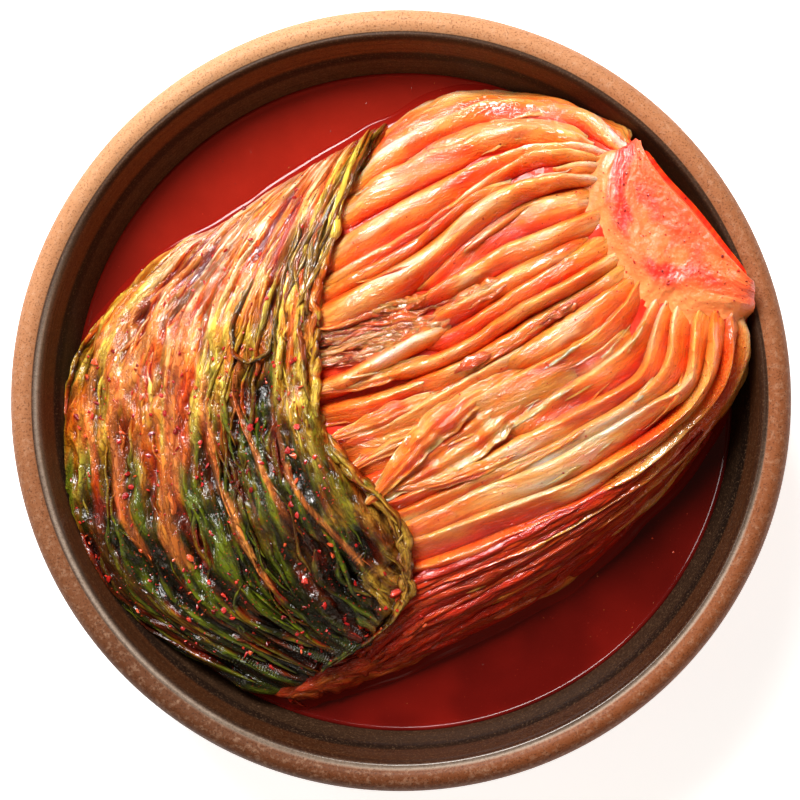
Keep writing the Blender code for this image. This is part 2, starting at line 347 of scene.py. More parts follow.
def slab(soup, top, under, each, tint, uvs, gloss):
    """A closed sheet: a fine grid above, and a grid beneath with one point for every few."""
    rows, columns = top.shape[:2]
    low_rows, low_columns = under.shape[:2]
    first = rows * columns
    faces = grid_faces(rows, columns)
    faces += [[first + v for v in face[::-1]] for face in grid_faces(low_rows, low_columns)]
    fine = border(rows, columns)
    coarse = [first + v for v in border(low_rows, low_columns)]
    for j, here in enumerate(coarse):
        after = coarse[(j + 1) % len(coarse)]
        span = [fine[(j * each + i) % len(fine)] for i in range(each + 1)]
        half = each // 2
        for i in range(each):
            faces.append([span[i], span[i + 1], here if i < half else after][::-1])
        faces.append([span[half], after, here][::-1])
    # The points beneath take the top's colour at 0.6: painted shade on the underside
    low_tint = tint[::each, ::each] * 0.6
    soup.add(
        np.concatenate([top.reshape(-1, 3), under.reshape(-1, 3)]),
        faces,
        np.concatenate([tint.reshape(-1, 3), low_tint.reshape(-1, 3)]),
        np.concatenate([uvs.reshape(-1, 2), uvs[::each, ::each].reshape(-1, 2)]),
        np.concatenate([gloss.ravel(), gloss[::each, ::each].ravel()]),
    )


def border(rows, columns):
    """Indices round the border of a grid, in order."""
    top = list(range(columns))
    right = [r * columns + columns - 1 for r in range(1, rows)]
    bottom = [(rows - 1) * columns + c for c in range(columns - 2, -1, -1)]
    left = [r * columns for r in range(rows - 2, 0, -1)]
    return top + right + bottom + left


# ------------------------------------------------------------------ materials
def nodes_of(name):
    material = bpy.data.materials.new(name)
    material.use_nodes = True
    tree = material.node_tree
    return material, tree, tree.nodes["Principled BSDF"]


def add_node(tree, kind, **values):
    """A shader node, its inputs set by name with spaces written as underscores."""
    node = tree.nodes.new(kind)
    for key, value in values.items():
        label = key.replace("_", " ")
        if label in node.inputs:
            node.inputs[label].default_value = value
        else:
            setattr(node, key, value)
    return node


def noise_of(tree, vector, scale, detail=3.0, roughness=0.55, stretch=(1, 1, 1)):
    """A noise texture whose coordinates are stretched first."""
    mapping = add_node(tree, "ShaderNodeMapping")
    mapping.inputs["Scale"].default_value = stretch
    tree.links.new(vector, mapping.inputs["Vector"])
    made = add_node(tree, "ShaderNodeTexNoise", Scale=scale, Detail=detail, Roughness=roughness)
    tree.links.new(mapping.outputs["Vector"], made.inputs["Vector"])
    return made.outputs["Fac"]


def spread_of(tree, value, low, high, low_to, high_to):
    """A value carried from one range to another, clamped."""
    node = add_node(tree, "ShaderNodeMapRange")
    for name, number in zip(("From Min", "From Max", "To Min", "To Max"), (low, high, low_to, high_to)):
        node.inputs[name].default_value = number
    tree.links.new(value, node.inputs["Value"])
    return node.outputs["Result"]


def blend_of(tree, mode, share, a, b):
    """A colour mix; share, a and b are numbers, colours or sockets."""
    node = tree.nodes.new("ShaderNodeMix")
    node.data_type = "RGBA"
    node.blend_type = mode
    for place, value in ((0, share), (6, a), (7, b)):
        if isinstance(value, bpy.types.NodeSocket):
            tree.links.new(value, node.inputs[place])
        elif place == 0:
            node.inputs[place].default_value = value
        else:
            node.inputs[place].default_value = (*value, 1.0)
    return node.outputs[2]


def bump_of(tree, heights):
    """Bump chained from (height socket, distance in metres, strength)."""
    last = None
    for height, distance, strength in heights:
        node = add_node(tree, "ShaderNodeBump", Strength=strength, Distance=distance)
        tree.links.new(height, node.inputs["Height"])
        if last is not None:
            tree.links.new(last, node.inputs["Normal"])
        last = node.outputs["Normal"]
    return last


def leaf_material(name, fibre, fibre_depth, wet, sheen_low, sheen_high, soft=0.12, ripple=330.0, crease=0.0, shine=0.3):
    """Wet salted leaf: fibres along the leaf, red between them, glossy film with matt breaks."""
    material, tree, shader = nodes_of(name)
    links = tree.links
    tint = add_node(tree, "ShaderNodeAttribute", attribute_name="tint").outputs["Color"]
    paste = add_node(tree, "ShaderNodeAttribute", attribute_name="paste").outputs["Fac"]
    along = add_node(tree, "ShaderNodeUVMap", uv_map="along").outputs["UV"]
    place = add_node(tree, "ShaderNodeTexCoord").outputs["Object"]
    fibres = noise_of(tree, along, fibre, 4.0, 0.6, (0.035, 1.0, 1.0))
    strands = noise_of(tree, along, fibre * 0.35, 2.0, 0.5, (0.06, 1.0, 1.0))
    grains = noise_of(tree, place, 900.0, 2.0, 0.6)
    blotches = noise_of(tree, place, 160.0, 3.0, 0.6)
    shade = spread_of(tree, fibres, 0.32, 0.68, 0.84, 1.08)
    grey = add_node(tree, "ShaderNodeCombineColor")
    for channel in ("Red", "Green", "Blue"):
        links.new(shade, grey.inputs[channel])
    colour = blend_of(tree, "MULTIPLY", 0.75, tint, grey.outputs["Color"])
    reds = spread_of(tree, strands, 0.5, 0.72, 0.0, 0.36)
    colour = blend_of(tree, "MULTIPLY", reds, colour, (0.80, 0.33, 0.20))
    # Darker along thin crease lines: painted shade in the creases
    if crease:
        folds = noise_of(tree, along, 0.55, 4.0, 0.62, (0.24, 1.0, 1.0))
        centred = add_node(tree, "ShaderNodeMath", operation="SUBTRACT")
        links.new(folds, centred.inputs[0])
        valley = add_node(tree, "ShaderNodeMath", operation="ABSOLUTE")
        links.new(centred.outputs[0], valley.inputs[0])
        creases = spread_of(tree, valley.outputs[0], 0.0, 0.08, 0.0, 1.0)
        dim = spread_of(tree, creases, 0.0, 0.6, crease, 0.0)
        colour = blend_of(tree, "MULTIPLY", dim, colour, (0.44, 0.22, 0.09))
    dots = spread_of(tree, grains, 0.64, 0.72, 0.0, 0.5)
    colour = blend_of(tree, "MIX", dots, colour, (0.50, 0.035, 0.015))
    links.new(colour, shader.inputs["Base Color"])
    rough = spread_of(tree, blotches, 0.35, 0.65, sheen_low, sheen_high)
    links.new(rough, shader.inputs["Roughness"])
    film = spread_of(tree, paste, 0.0, 1.0, wet, min(1.0, wet + 0.25))
    links.new(film, shader.inputs["Coat Weight"])
    shader.inputs["Coat Roughness"].default_value = 0.04
    shader.inputs["Coat IOR"].default_value = 1.65
    ripples = noise_of(tree, place, ripple, 1.0, 0.5)
    runs = noise_of(tree, along, 0.32, 1.5, 0.5, (0.4, 1.0, 1.0))
    film = [(ripples, 0.16 / ripple, 0.8), (runs, 0.0008, 0.8)]
    if crease:
        film.append((creases, 0.0002, 0.6))
    film_relief = bump_of(tree, film)
    links.new(film_relief, shader.inputs["Coat Normal"])
    shader.inputs["Specular IOR Level"].default_value = shine
    shader.inputs["Specular Tint"].default_value = (1.0, 0.80, 0.60, 1)
    shader.inputs["Subsurface Weight"].default_value = soft
    shader.inputs["Subsurface Radius"].default_value = (0.008, 0.0028, 0.0011)
    shader.inputs["Subsurface Scale"].default_value = 1.0
    levels = [
        (fibres, 0.0002 * fibre_depth, 0.75),
        (strands, 0.0006 * fibre_depth, 0.5),
        (blotches, 0.0010, 0.5),
        (grains, 0.0002, 0.35),
    ]
    if crease:
        levels.append((creases, 0.0007, 0.8))
    relief = bump_of(tree, levels)
    links.new(relief, shader.inputs["Normal"])
    return material


def plain_wet_material(name, sheen, mottle, scale, coat=0.6, soft=0.0, depth=0.0003):
    """Mottled glossy material in the piece's own tint."""
    material, tree, shader = nodes_of(name)
    tint = add_node(tree, "ShaderNodeAttribute", attribute_name="tint").outputs["Color"]
    place = add_node(tree, "ShaderNodeTexCoord").outputs["Object"]
    spots = noise_of(tree, place, scale, 4.0, 0.6)
    fine = noise_of(tree, place, scale * 4.5, 2.0, 0.6)
    share = spread_of(tree, spots, 0.3, 0.7, 0.0, mottle)
    colour = blend_of(tree, "MULTIPLY", share, tint, (0.45, 0.30, 0.26))
    tree.links.new(colour, shader.inputs["Base Color"])
    rough = spread_of(tree, fine, 0.3, 0.7, sheen * 0.7, sheen * 1.4)
    tree.links.new(rough, shader.inputs["Roughness"])
    shader.inputs["Coat Weight"].default_value = coat
    shader.inputs["Coat Roughness"].default_value = 0.05
    shader.inputs["Subsurface Weight"].default_value = soft
    shader.inputs["Subsurface Radius"].default_value = (0.003, 0.0008, 0.0004)
    shader.inputs["Subsurface Scale"].default_value = 1.0
    relief = bump_of(tree, ((spots, depth * 2, 0.5), (fine, depth, 0.5)))
    tree.links.new(relief, shader.inputs["Normal"])
    return material


def core_material():
    """Cut core: granular flesh soaked red, with pale grains."""
    material, tree, shader = nodes_of("core_flesh")
    tint = add_node(tree, "ShaderNodeAttribute", attribute_name="tint").outputs["Color"]
    place = add_node(tree, "ShaderNodeTexCoord").outputs["Object"]
    grains = noise_of(tree, place, 1100.0, 3.0, 0.65)
    patches = noise_of(tree, place, 220.0, 3.0, 0.55)
    pale = spread_of(tree, grains, 0.54, 0.70, 0.0, 0.4)
    colour = blend_of(tree, "MIX", pale, tint, (0.95, 0.36, 0.15))
    deep = spread_of(tree, patches, 0.5, 0.72, 0.0, 0.22)
    colour = blend_of(tree, "MULTIPLY", deep, colour, (0.82, 0.25, 0.20))
    tree.links.new(colour, shader.inputs["Base Color"])
    rough = spread_of(tree, patches, 0.3, 0.7, 0.28, 0.5)
    tree.links.new(rough, shader.inputs["Roughness"])
    shader.inputs["Coat Weight"].default_value = 0.25
    shader.inputs["Coat Roughness"].default_value = 0.12
    shader.inputs["Subsurface Weight"].default_value = 0.12
    shader.inputs["Subsurface Radius"].default_value = (0.004, 0.0014, 0.0006)
    shader.inputs["Subsurface Scale"].default_value = 1.0
    relief = bump_of(tree, ((grains, 0.0004, 0.6), (patches, 0.0009, 0.5)))
    tree.links.new(relief, shader.inputs["Normal"])
    return material


def stoneware_material():
    """Tan unglazed clay and dark brown glaze; the paste attribute is 1 where glaze covers."""
    material, tree, shader = nodes_of("stoneware")
    links = tree.links
    tint = add_node(tree, "ShaderNodeAttribute", attribute_name="tint").outputs["Color"]
    glaze = add_node(tree, "ShaderNodeAttribute", attribute_name="paste").outputs["Fac"]
    place = add_node(tree, "ShaderNodeTexCoord").outputs["Object"]
    speck = noise_of(tree, place, 1500.0, 2.0, 0.6)
    grain = noise_of(tree, place, 520.0, 4.0, 0.65)
    cloud = noise_of(tree, place, 45.0, 3.0, 0.5)
    rings = noise_of(tree, place, 900.0, 2.0, 0.5, (0.02, 0.02, 1.0))
    clouds = spread_of(tree, cloud, 0.3, 0.7, 0.0, 0.35)
    colour = blend_of(tree, "MULTIPLY", clouds, tint, (0.72, 0.60, 0.50))
    pale = spread_of(tree, grain, 0.5, 0.75, 0.0, 0.28)
    colour = blend_of(tree, "MIX", pale, colour, (0.55, 0.36, 0.24))
    dark = spread_of(tree, speck, 0.54, 0.66, 0.0, 0.7)
    colour = blend_of(tree, "MULTIPLY", dark, colour, (0.32, 0.24, 0.19))
    glazed = blend_of(tree, "MULTIPLY", spread_of(tree, grain, 0.4, 0.7, 0.0, 0.5), tint, (0.45, 0.38, 0.34))
    glazed = blend_of(tree, "MULTIPLY", spread_of(tree, rings, 0.45, 0.65, 0.0, 0.5), glazed, (0.5, 0.42, 0.35))
    glazed = blend_of(tree, "MIX", spread_of(tree, speck, 0.56, 0.70, 0.0, 0.22), glazed, (0.30, 0.17, 0.09))
    glazed = blend_of(tree, "MULTIPLY", spread_of(tree, speck, 0.46, 0.34, 0.0, 0.6), glazed, (0.4, 0.35, 0.3))
    colour = blend_of(tree, "MIX", spread_of(tree, glaze, 0.0, 0.5, 0.0, 1.0), colour, glazed)
    links.new(colour, shader.inputs["Base Color"])
    links.new(spread_of(tree, glaze, 0.5, 1.0, 0.62, 0.30), shader.inputs["Roughness"])
    links.new(spread_of(tree, glaze, 0.5, 1.0, 0.03, 0.8), shader.inputs["Coat Weight"])
    shader.inputs["Coat Roughness"].default_value = 0.2
    shader.inputs["Specular IOR Level"].default_value = 0.2
    shader.inputs["Specular Tint"].default_value = (1.0, 0.84, 0.66, 1)
    relief = bump_of(tree, ((speck, 0.00012, 0.5), (grain, 0.00025, 0.5), (rings, 0.0003, 0.3)))
    links.new(relief, shader.inputs["Normal"])
    return material


def brine_material():
    """Deep red liquid with a faint cloud of chilli in it."""
    material, tree, shader = nodes_of("red_brine")
    links = tree.links
    tint = add_node(tree, "ShaderNodeAttribute", attribute_name="tint").outputs["Color"]
    place = add_node(tree, "ShaderNodeTexCoord").outputs["Object"]
    cloud = noise_of(tree, place, 60.0, 4.0, 0.6)
    grain = noise_of(tree, place, 1400.0, 2.0, 0.6)
    ripple = noise_of(tree, place, 90.0, 1.0, 0.4)
    share = spread_of(tree, cloud, 0.3, 0.7, 0.0, 0.35)
    colour = blend_of(tree, "MULTIPLY", share, tint, (0.62, 0.45, 0.45))
    motes = spread_of(tree, grain, 0.70, 0.76, 0.0, 0.35)
    colour = blend_of(tree, "MIX", motes, colour, (0.45, 0.05, 0.02))
    links.new(colour, shader.inputs["Base Color"])
    shader.inputs["Roughness"].default_value = 0.09
    shader.inputs["Specular IOR Level"].default_value = 0.22
    shader.inputs["Coat Weight"].default_value = 0.1
    shader.inputs["Coat Roughness"].default_value = 0.03
    links.new(bump_of(tree, ((ripple, 0.0004, 0.25),)), shader.inputs["Normal"])
    return material


# ------------------------------------------------------------------ the bowl
TAN = srgb(193, 100, 50)
# Tan of the rim's lit side, mixed in towards the lamp: painted light
TAN_LIT = srgb(193, 144, 104)
TAN_OUTSIDE = srgb(168, 96, 56)
# Pale grey of the painted highlight on the bead
BEAD_HIGHLIGHT_COLOUR = srgb(160, 144, 130)
GLAZE_EDGE = srgb(44, 22, 12)
BEAD = srgb(50, 26, 14)
BROWN_BAND = srgb(98, 52, 23)
GROOVE = srgb(30, 14, 7)
LOWER_WALL = srgb(54, 34, 20)
BOWL_SEGMENTS = 300

# Radius, height, colour and share of glaze, from under the foot round to the middle inside
BOWL_PROFILE = (
    (0.6, 3.0, TAN_OUTSIDE, 0),
    (40.0, 3.0, TAN_OUTSIDE, 0),
    (71.5, 3.0, TAN_OUTSIDE, 0),
    (73.2, 2.2, TAN_OUTSIDE, 0),
    (74.4, 0.3, TAN_OUTSIDE, 0),
    (76.0, 0.0, TAN_OUTSIDE, 0),
    (81.5, 0.0, TAN_OUTSIDE, 0),
    (83.4, 0.6, TAN_OUTSIDE, 0),
    (84.6, 3.0, TAN_OUTSIDE, 0),
    (88.0, 5.4, TAN_OUTSIDE, 0),
    (96.0, 8.1, TAN_OUTSIDE, 0),
    (104.0, 11.0, TAN_OUTSIDE, 0),
    (110.0, 14.6, TAN_OUTSIDE, 0),
    (115.0, 18.8, TAN_OUTSIDE, 0),
    (119.9, 24.0, TAN_OUTSIDE, 0),
    (124.0, 30.0, TAN_OUTSIDE, 0),
    (128.4, 38.4, TAN_OUTSIDE, 0),
    (132.0, 48.0, TAN_OUTSIDE, 0),
    (135.1, 57.0, TAN_OUTSIDE, 0),
    (137.6, 66.0, TAN, 0),
    (139.3, 70.6, TAN, 0),
    (140.0, 73.6, TAN, 0),
    (139.6, 76.0, TAN, 0),
    (138.4, 78.2, TAN, 0),
    (136.6, 79.6, TAN, 0),
    (134.8, 80.0, TAN, 0),
    (133.4, 79.6, TAN, 0),
    (132.4, 79.1, TAN, 0),
    (131.8, 78.7, TAN, 0),
    (131.45, 78.45, GLAZE_EDGE, 0.7),
    (131.1, 78.5, BEAD, 1),
    (130.6, 78.8, BEAD, 1),
    (130.0, 78.6, BEAD, 1),
    (129.5, 77.9, BEAD, 1),
    (129.1, 76.8, BEAD, 0.7),
    (128.6, 75.2, BROWN_BAND, 0.5),
    (128.1, 73.4, BROWN_BAND, 0.5),
    (127.2, 69.6, BROWN_BAND, 0.5),
    (126.4, 66.4, BROWN_BAND, 0.5),
    (125.9, 65.0, GROOVE, 0.5),
    (125.0, 63.6, GROOVE, 0.5),
    (124.7, 62.2, GROOVE, 0.5),
    (124.1, 60.4, LOWER_WALL, 0.5),
    (122.5, 55.0, LOWER_WALL, 0.5),
    (120.6, 50.0, LOWER_WALL, 0.5),
    (119.2, 45.0, LOWER_WALL, 0.5),
    (117.6, 40.0, LOWER_WALL, 0.5),
    (113.0, 29.0, LOWER_WALL, 0.5),
    (106.0, 20.0, LOWER_WALL, 0.5),
    (97.0, 14.0, LOWER_WALL, 0.5),
    (86.0, 12.0, LOWER_WALL, 1),
    (40.0, 12.0, LOWER_WALL, 1),
    (0.6, 12.0, LOWER_WALL, 1),
)


# Painted light and shade round the bowl: directions in degrees from +x of the clay's lit and shaded sides, the glaze's
# lit side, the head's painted shadow on the wall and the bead's painted highlight
LIT_CLAY_SIDE = 115
LIT_GLAZE_SIDE = 125
SHADED_CLAY_SIDE = 228
FILL_LIT_CLAY_SIDE = 308
SHADOWED_WALL_SIDE = 345
BEAD_HIGHLIGHT_SIDE = 252
BEAD_HIGHLIGHT_R_MM = 130.5
BEAD_HIGHLIGHT_OFF_CENTRE_MM = 1.0
BEAD_HIGHLIGHT_SHIFT_SIDE = 315


def towards(angle, side, tightness):
    """1 on one side of the bowl, fading away from it: a tighter mark fades sooner."""
    return np.exp(tightness * (np.cos(angle - math.radians(side)) - 1))


def make_bowl():
    radii = np.array([row[0] for row in BOWL_PROFILE])
    heights = np.array([row[1] for row in BOWL_PROFILE])
    colours = np.array([row[2] for row in BOWL_PROFILE])
    glaze = np.array([row[3] for row in BOWL_PROFILE], float)
    angle = np.linspace(0, 2 * math.pi, BOWL_SEGMENTS, endpoint=False)
    wobble = 0.12 * fbm(np.cos(angle) * 2.2, np.sin(angle) * 2.2, 0.0, 5)
    r = radii[:, None] + wobble * np.clip(radii[:, None] - 100, 0, 30) / 30 - 0.1
    z = np.broadcast_to(heights[:, None], r.shape)
    points = np.stack([r * np.cos(angle), r * np.sin(angle), z], axis=-1)
    stain = 0.10 * fbm(np.cos(angle) * 3, np.sin(angle) * 3, 0.0, 8)
    # The bare clay is lighter towards the key lamp and darker on the far side, with a brighter patch at 308 degrees:
    # painted light and shade
    painted_clay_light = 0.215 + 0.765 * (0.5 + 0.5 * np.cos(angle - math.radians(112))) ** 1.3
    painted_clay_light = painted_clay_light * (1 - 0.5 * towards(angle, SHADED_CLAY_SIDE, 4))
    bare = (glaze < 0.4)[:, None] * 1.0
    outside = ((heights < 66) & (radii > 70))[:, None] * bare
    painted_clay_light = painted_clay_light * (0.95 + 0.65 * towards(angle, FILL_LIT_CLAY_SIDE, 4))
    painted_clay_light = painted_clay_light[None, :] ** (1 - 0.5 * outside)
    light = bare * painted_clay_light
    # The brown band and the glazed wall are lighter on the lit side, and the wall is darker where the head's shadow
    # falls: painted light and painted shadow
    band = np.all(colours == BROWN_BAND, axis=1)[:, None]
    band_light = 0.28 + 1.15 * towards(angle, LIT_GLAZE_SIDE, 1.6)
    light = light + (1 - bare) * np.where(band, band_light, 1.0)
    wall = ((radii < 126.2) & (heights > 13))[:, None] * (1 - bare)
    wall_light = 0.75 + 1.9 * towards(angle, LIT_GLAZE_SIDE, 2) - 0.35 * towards(angle, SHADOWED_WALL_SIDE, 8)
    light = light * (1 + wall * (wall_light - 1))
    base = np.broadcast_to(colours[:, None, :], (*r.shape, 3))
    # Towards the lit side the bare clay turns paler: painted light
    base = mix(base, TAN_LIT, bare * (1 - 0.6 * outside) * towards(angle, LIT_CLAY_SIDE, 0.9))
    tint = base * ((1 + stain[None, :]) * light)[..., None]
    # A pale line along the bead from the left round the bottom to the right: painted highlight. The bead is glossier on
    # that side too.
    bead_highlight_share = 0.85 * step(-0.35, 0.25, np.cos(angle - math.radians(BEAD_HIGHLIGHT_SIDE)))
    bead_highlight_line = BEAD_HIGHLIGHT_R_MM + BEAD_HIGHLIGHT_OFF_CENTRE_MM * np.cos(angle - math.radians(BEAD_HIGHLIGHT_SHIFT_SIDE))
    bead_highlight = np.exp(-(((radii[:, None] - bead_highlight_line) / 0.8) ** 2))
    bead_highlight = bead_highlight * bead_highlight_share * ((radii < 132.2) & (heights > 70))[:, None]
    tint = mix(tint, BEAD_HIGHLIGHT_COLOUR, bead_highlight)
    bead = ((glaze > 0.6) & (heights > 70))[:, None]
    glaze = np.where(bead, 0.45 + (glaze[:, None] - 0.45) * bead_highlight_share, glaze[:, None])
    uvs = np.stack([np.broadcast_to(angle * 130, r.shape), np.broadcast_to(np.arange(len(radii))[:, None] * 3.0, r.shape)], axis=-1)
    faces = grid_faces(len(radii), BOWL_SEGMENTS, wrap=True)
    faces.append(list(range(BOWL_SEGMENTS)))
    faces.append(list(range((len(radii) - 1) * BOWL_SEGMENTS, len(radii) * BOWL_SEGMENTS)))
    soup = Soup()
    soup.add(points, faces, tint, uvs, glaze)
    return soup.build("stoneware_bowl", stoneware_material(), ("bowl",))


# ------------------------------------------------------------------ the head
LEAF_STOPS = (
    (0.0, (184, 16, 6)),
    (0.2, (224, 42, 11)),
    (0.4, (242, 84, 20)),
    (0.58, (243, 124, 38)),
    (0.76, (242, 162, 84)),
    (0.9, (240, 190, 146)),
    (1.0, (238, 212, 194)),
)
PASTE_RED = srgb(196, 44, 18)
LEAF_MM = 300.0


def strip(soup, lift, tone, rows, seed, kind):
    """One leaf rib lying along the head. Rows give s and the north edge, crest and south edge.

    A kind is (crest place across, sharpness of the fall, depth of the edges, columns).
    """
    c, fall, sink, columns = kind
    table = np.array([row if len(row) == 5 else (*row, 1.0) for row in rows], float)
    length = int(60 + 160 * (table[-1, 0] - table[0, 0]))
    s = np.linspace(table[0, 0], table[-1, 0], length)
    north, crest, south, relief = (smooth_line(s, table[:, 0], table[:, k]) for k in (1, 2, 3, 4))
    wander = 0.0035 * noise(s * 11, 0.5 * seed, 0.0, seed) + 0.0012 * noise(s * 34, 0.5 * seed, 0.0, seed + 1)
    half = max(3, int(columns * 0.34))
    v = np.concatenate([np.linspace(0, c, half, endpoint=False), c + (1 - c) * np.linspace(0, 1, columns - half) ** 1.3])[None, :]
    if table[-1, 0] < 0.735:
        narrow = 0.2 + 0.8 * np.clip((table[-1, 0] - s) / 0.06, 0, 1) ** 0.6
        north = crest + (north - crest) * narrow
        south = crest + (south - crest) * narrow
    north, crest, south = ((line + wander)[:, None] for line in (north, crest, south))
    crest = crest + 0.0012 * noise(s * 60, 0.2 * seed, 0.0, seed + 2)[:, None]
    t = np.where(v < c, north + (crest - north) * v / c, crest + (south - crest) * (v - c) / (1 - c))
    s = np.broadcast_to(s[:, None], t.shape)
    flat, _ = on_head(s, t)
    across = np.cumsum(np.linalg.norm(np.diff(flat, axis=1, prepend=flat[:, :1]), axis=-1), axis=1)
    along = np.cumsum(np.linalg.norm(np.diff(flat, axis=0, prepend=flat[:1]), axis=-1), axis=0)
    along = np.broadcast_to(along.mean(axis=1, keepdims=True), t.shape)
    down = np.clip((v - c) / (1 - c), 0, 1)
    rise = np.sin(0.5 * math.pi * np.clip(v / c, 0, 1)) ** 0.8
    shape = np.where(v < c, rise, 1 - down**fall)
    start = step(0, 14, along)
    under_wrap = 1 - 0.8 * step(0.70, 0.745, s)
    if table[-1, 0] < 0.735:
        under_wrap = under_wrap * step(0, 13, along[-1:] - along)
    swell = 1 + 0.26 * noise(along / 24, 0.0, 0.0, seed + 3)
    sink = sink * (0.35 + 0.65 * relief[:, None])
    lift = lift * relief[:, None] * (0.25 + 0.75 * start) * swell
    height = -sink - 1.6 * (1 - under_wrap) + (lift * under_wrap + sink) * shape
    height = height - 2.4 * step(6, 0, along)
    fade = np.clip(4.5 * v, 0, 1) * np.clip(3 * (1 - v), 0, 1) * start * under_wrap
    folds = 1.5 * noise(along / 17, across / 8.0, 0.0, seed + 11)
    strands = 0.16 * (0.5 - np.abs(noise(along / 40, across / 2.6, 0.0, seed + 17)))
    wet = 0.42 * noise(along / 6.5, across / 3.4, 0.0, seed + 23)
    height = height + fade * (folds + strands + wet)
    top, normal = on_head(s, t, height)
    low = np.linspace(0.94, 0.06, 4)[None, :]
    low_t = north + (south - north) * low
    under, _ = on_head(np.broadcast_to(s[:, :1], low_t.shape), low_t, -sink - 2.9)
    fibre = noise(along / 45, across / 1.1, 0.0, seed + 31)
    patch = fbm(along / 26, across / 6, 0.0, seed + 37)
    crest_line = np.exp(-(((v - c) / (0.07 + 0.12 * (c > 0.25))) ** 2))
    breaks = step(-0.35, 0.3, noise(along / 17, 0.4, 0.0, seed + 47))
    broad = fbm(s * LEAF_MM / 42, t * EDGE_MM / 13, 0.0, 61)
    # The tint follows the rib's relief: lighter on the crest, along the crest line and on raised folds, darker down in
    # the valleys. This is partly the pale rib and the red paste between ribs, partly painted light and shade.
    value = 0.44 + 0.20 * tone * shape**0.7 + 0.12 * tone * crest_line * breaks + 0.06 * fibre
    value = value + 0.36 * patch + 0.20 * broad - 0.12 * step(0.58, 0.72, s) * step(0.2, 0.4, t)
    value = value + 0.12 * folds * fade - 0.34 * (1 - shape) ** 2.6 * relief[:, None]
    value = value + 0.06 * (1 - start) * (tone > 0.5)
    tint = ramp(LEAF_STOPS, value)
    smear = step(0.10, 0.55, fbm(along / 14, across / 3.6, 0.0, seed + 41)) * (0.85 - 0.35 * tone)
    tint = mix(tint, PASTE_RED, smear * (1 - 0.6 * crest_line))
    uvs = np.stack([along, across + 13.7 * seed], axis=-1)
    tube(soup, top, under, tint, uvs, np.clip(smear, 0, 1))


ROUND_RIB = (0.30, 2.0, 2.2, 22)
FOLD_RIB = (0.15, 1.0, 3.6, 24)

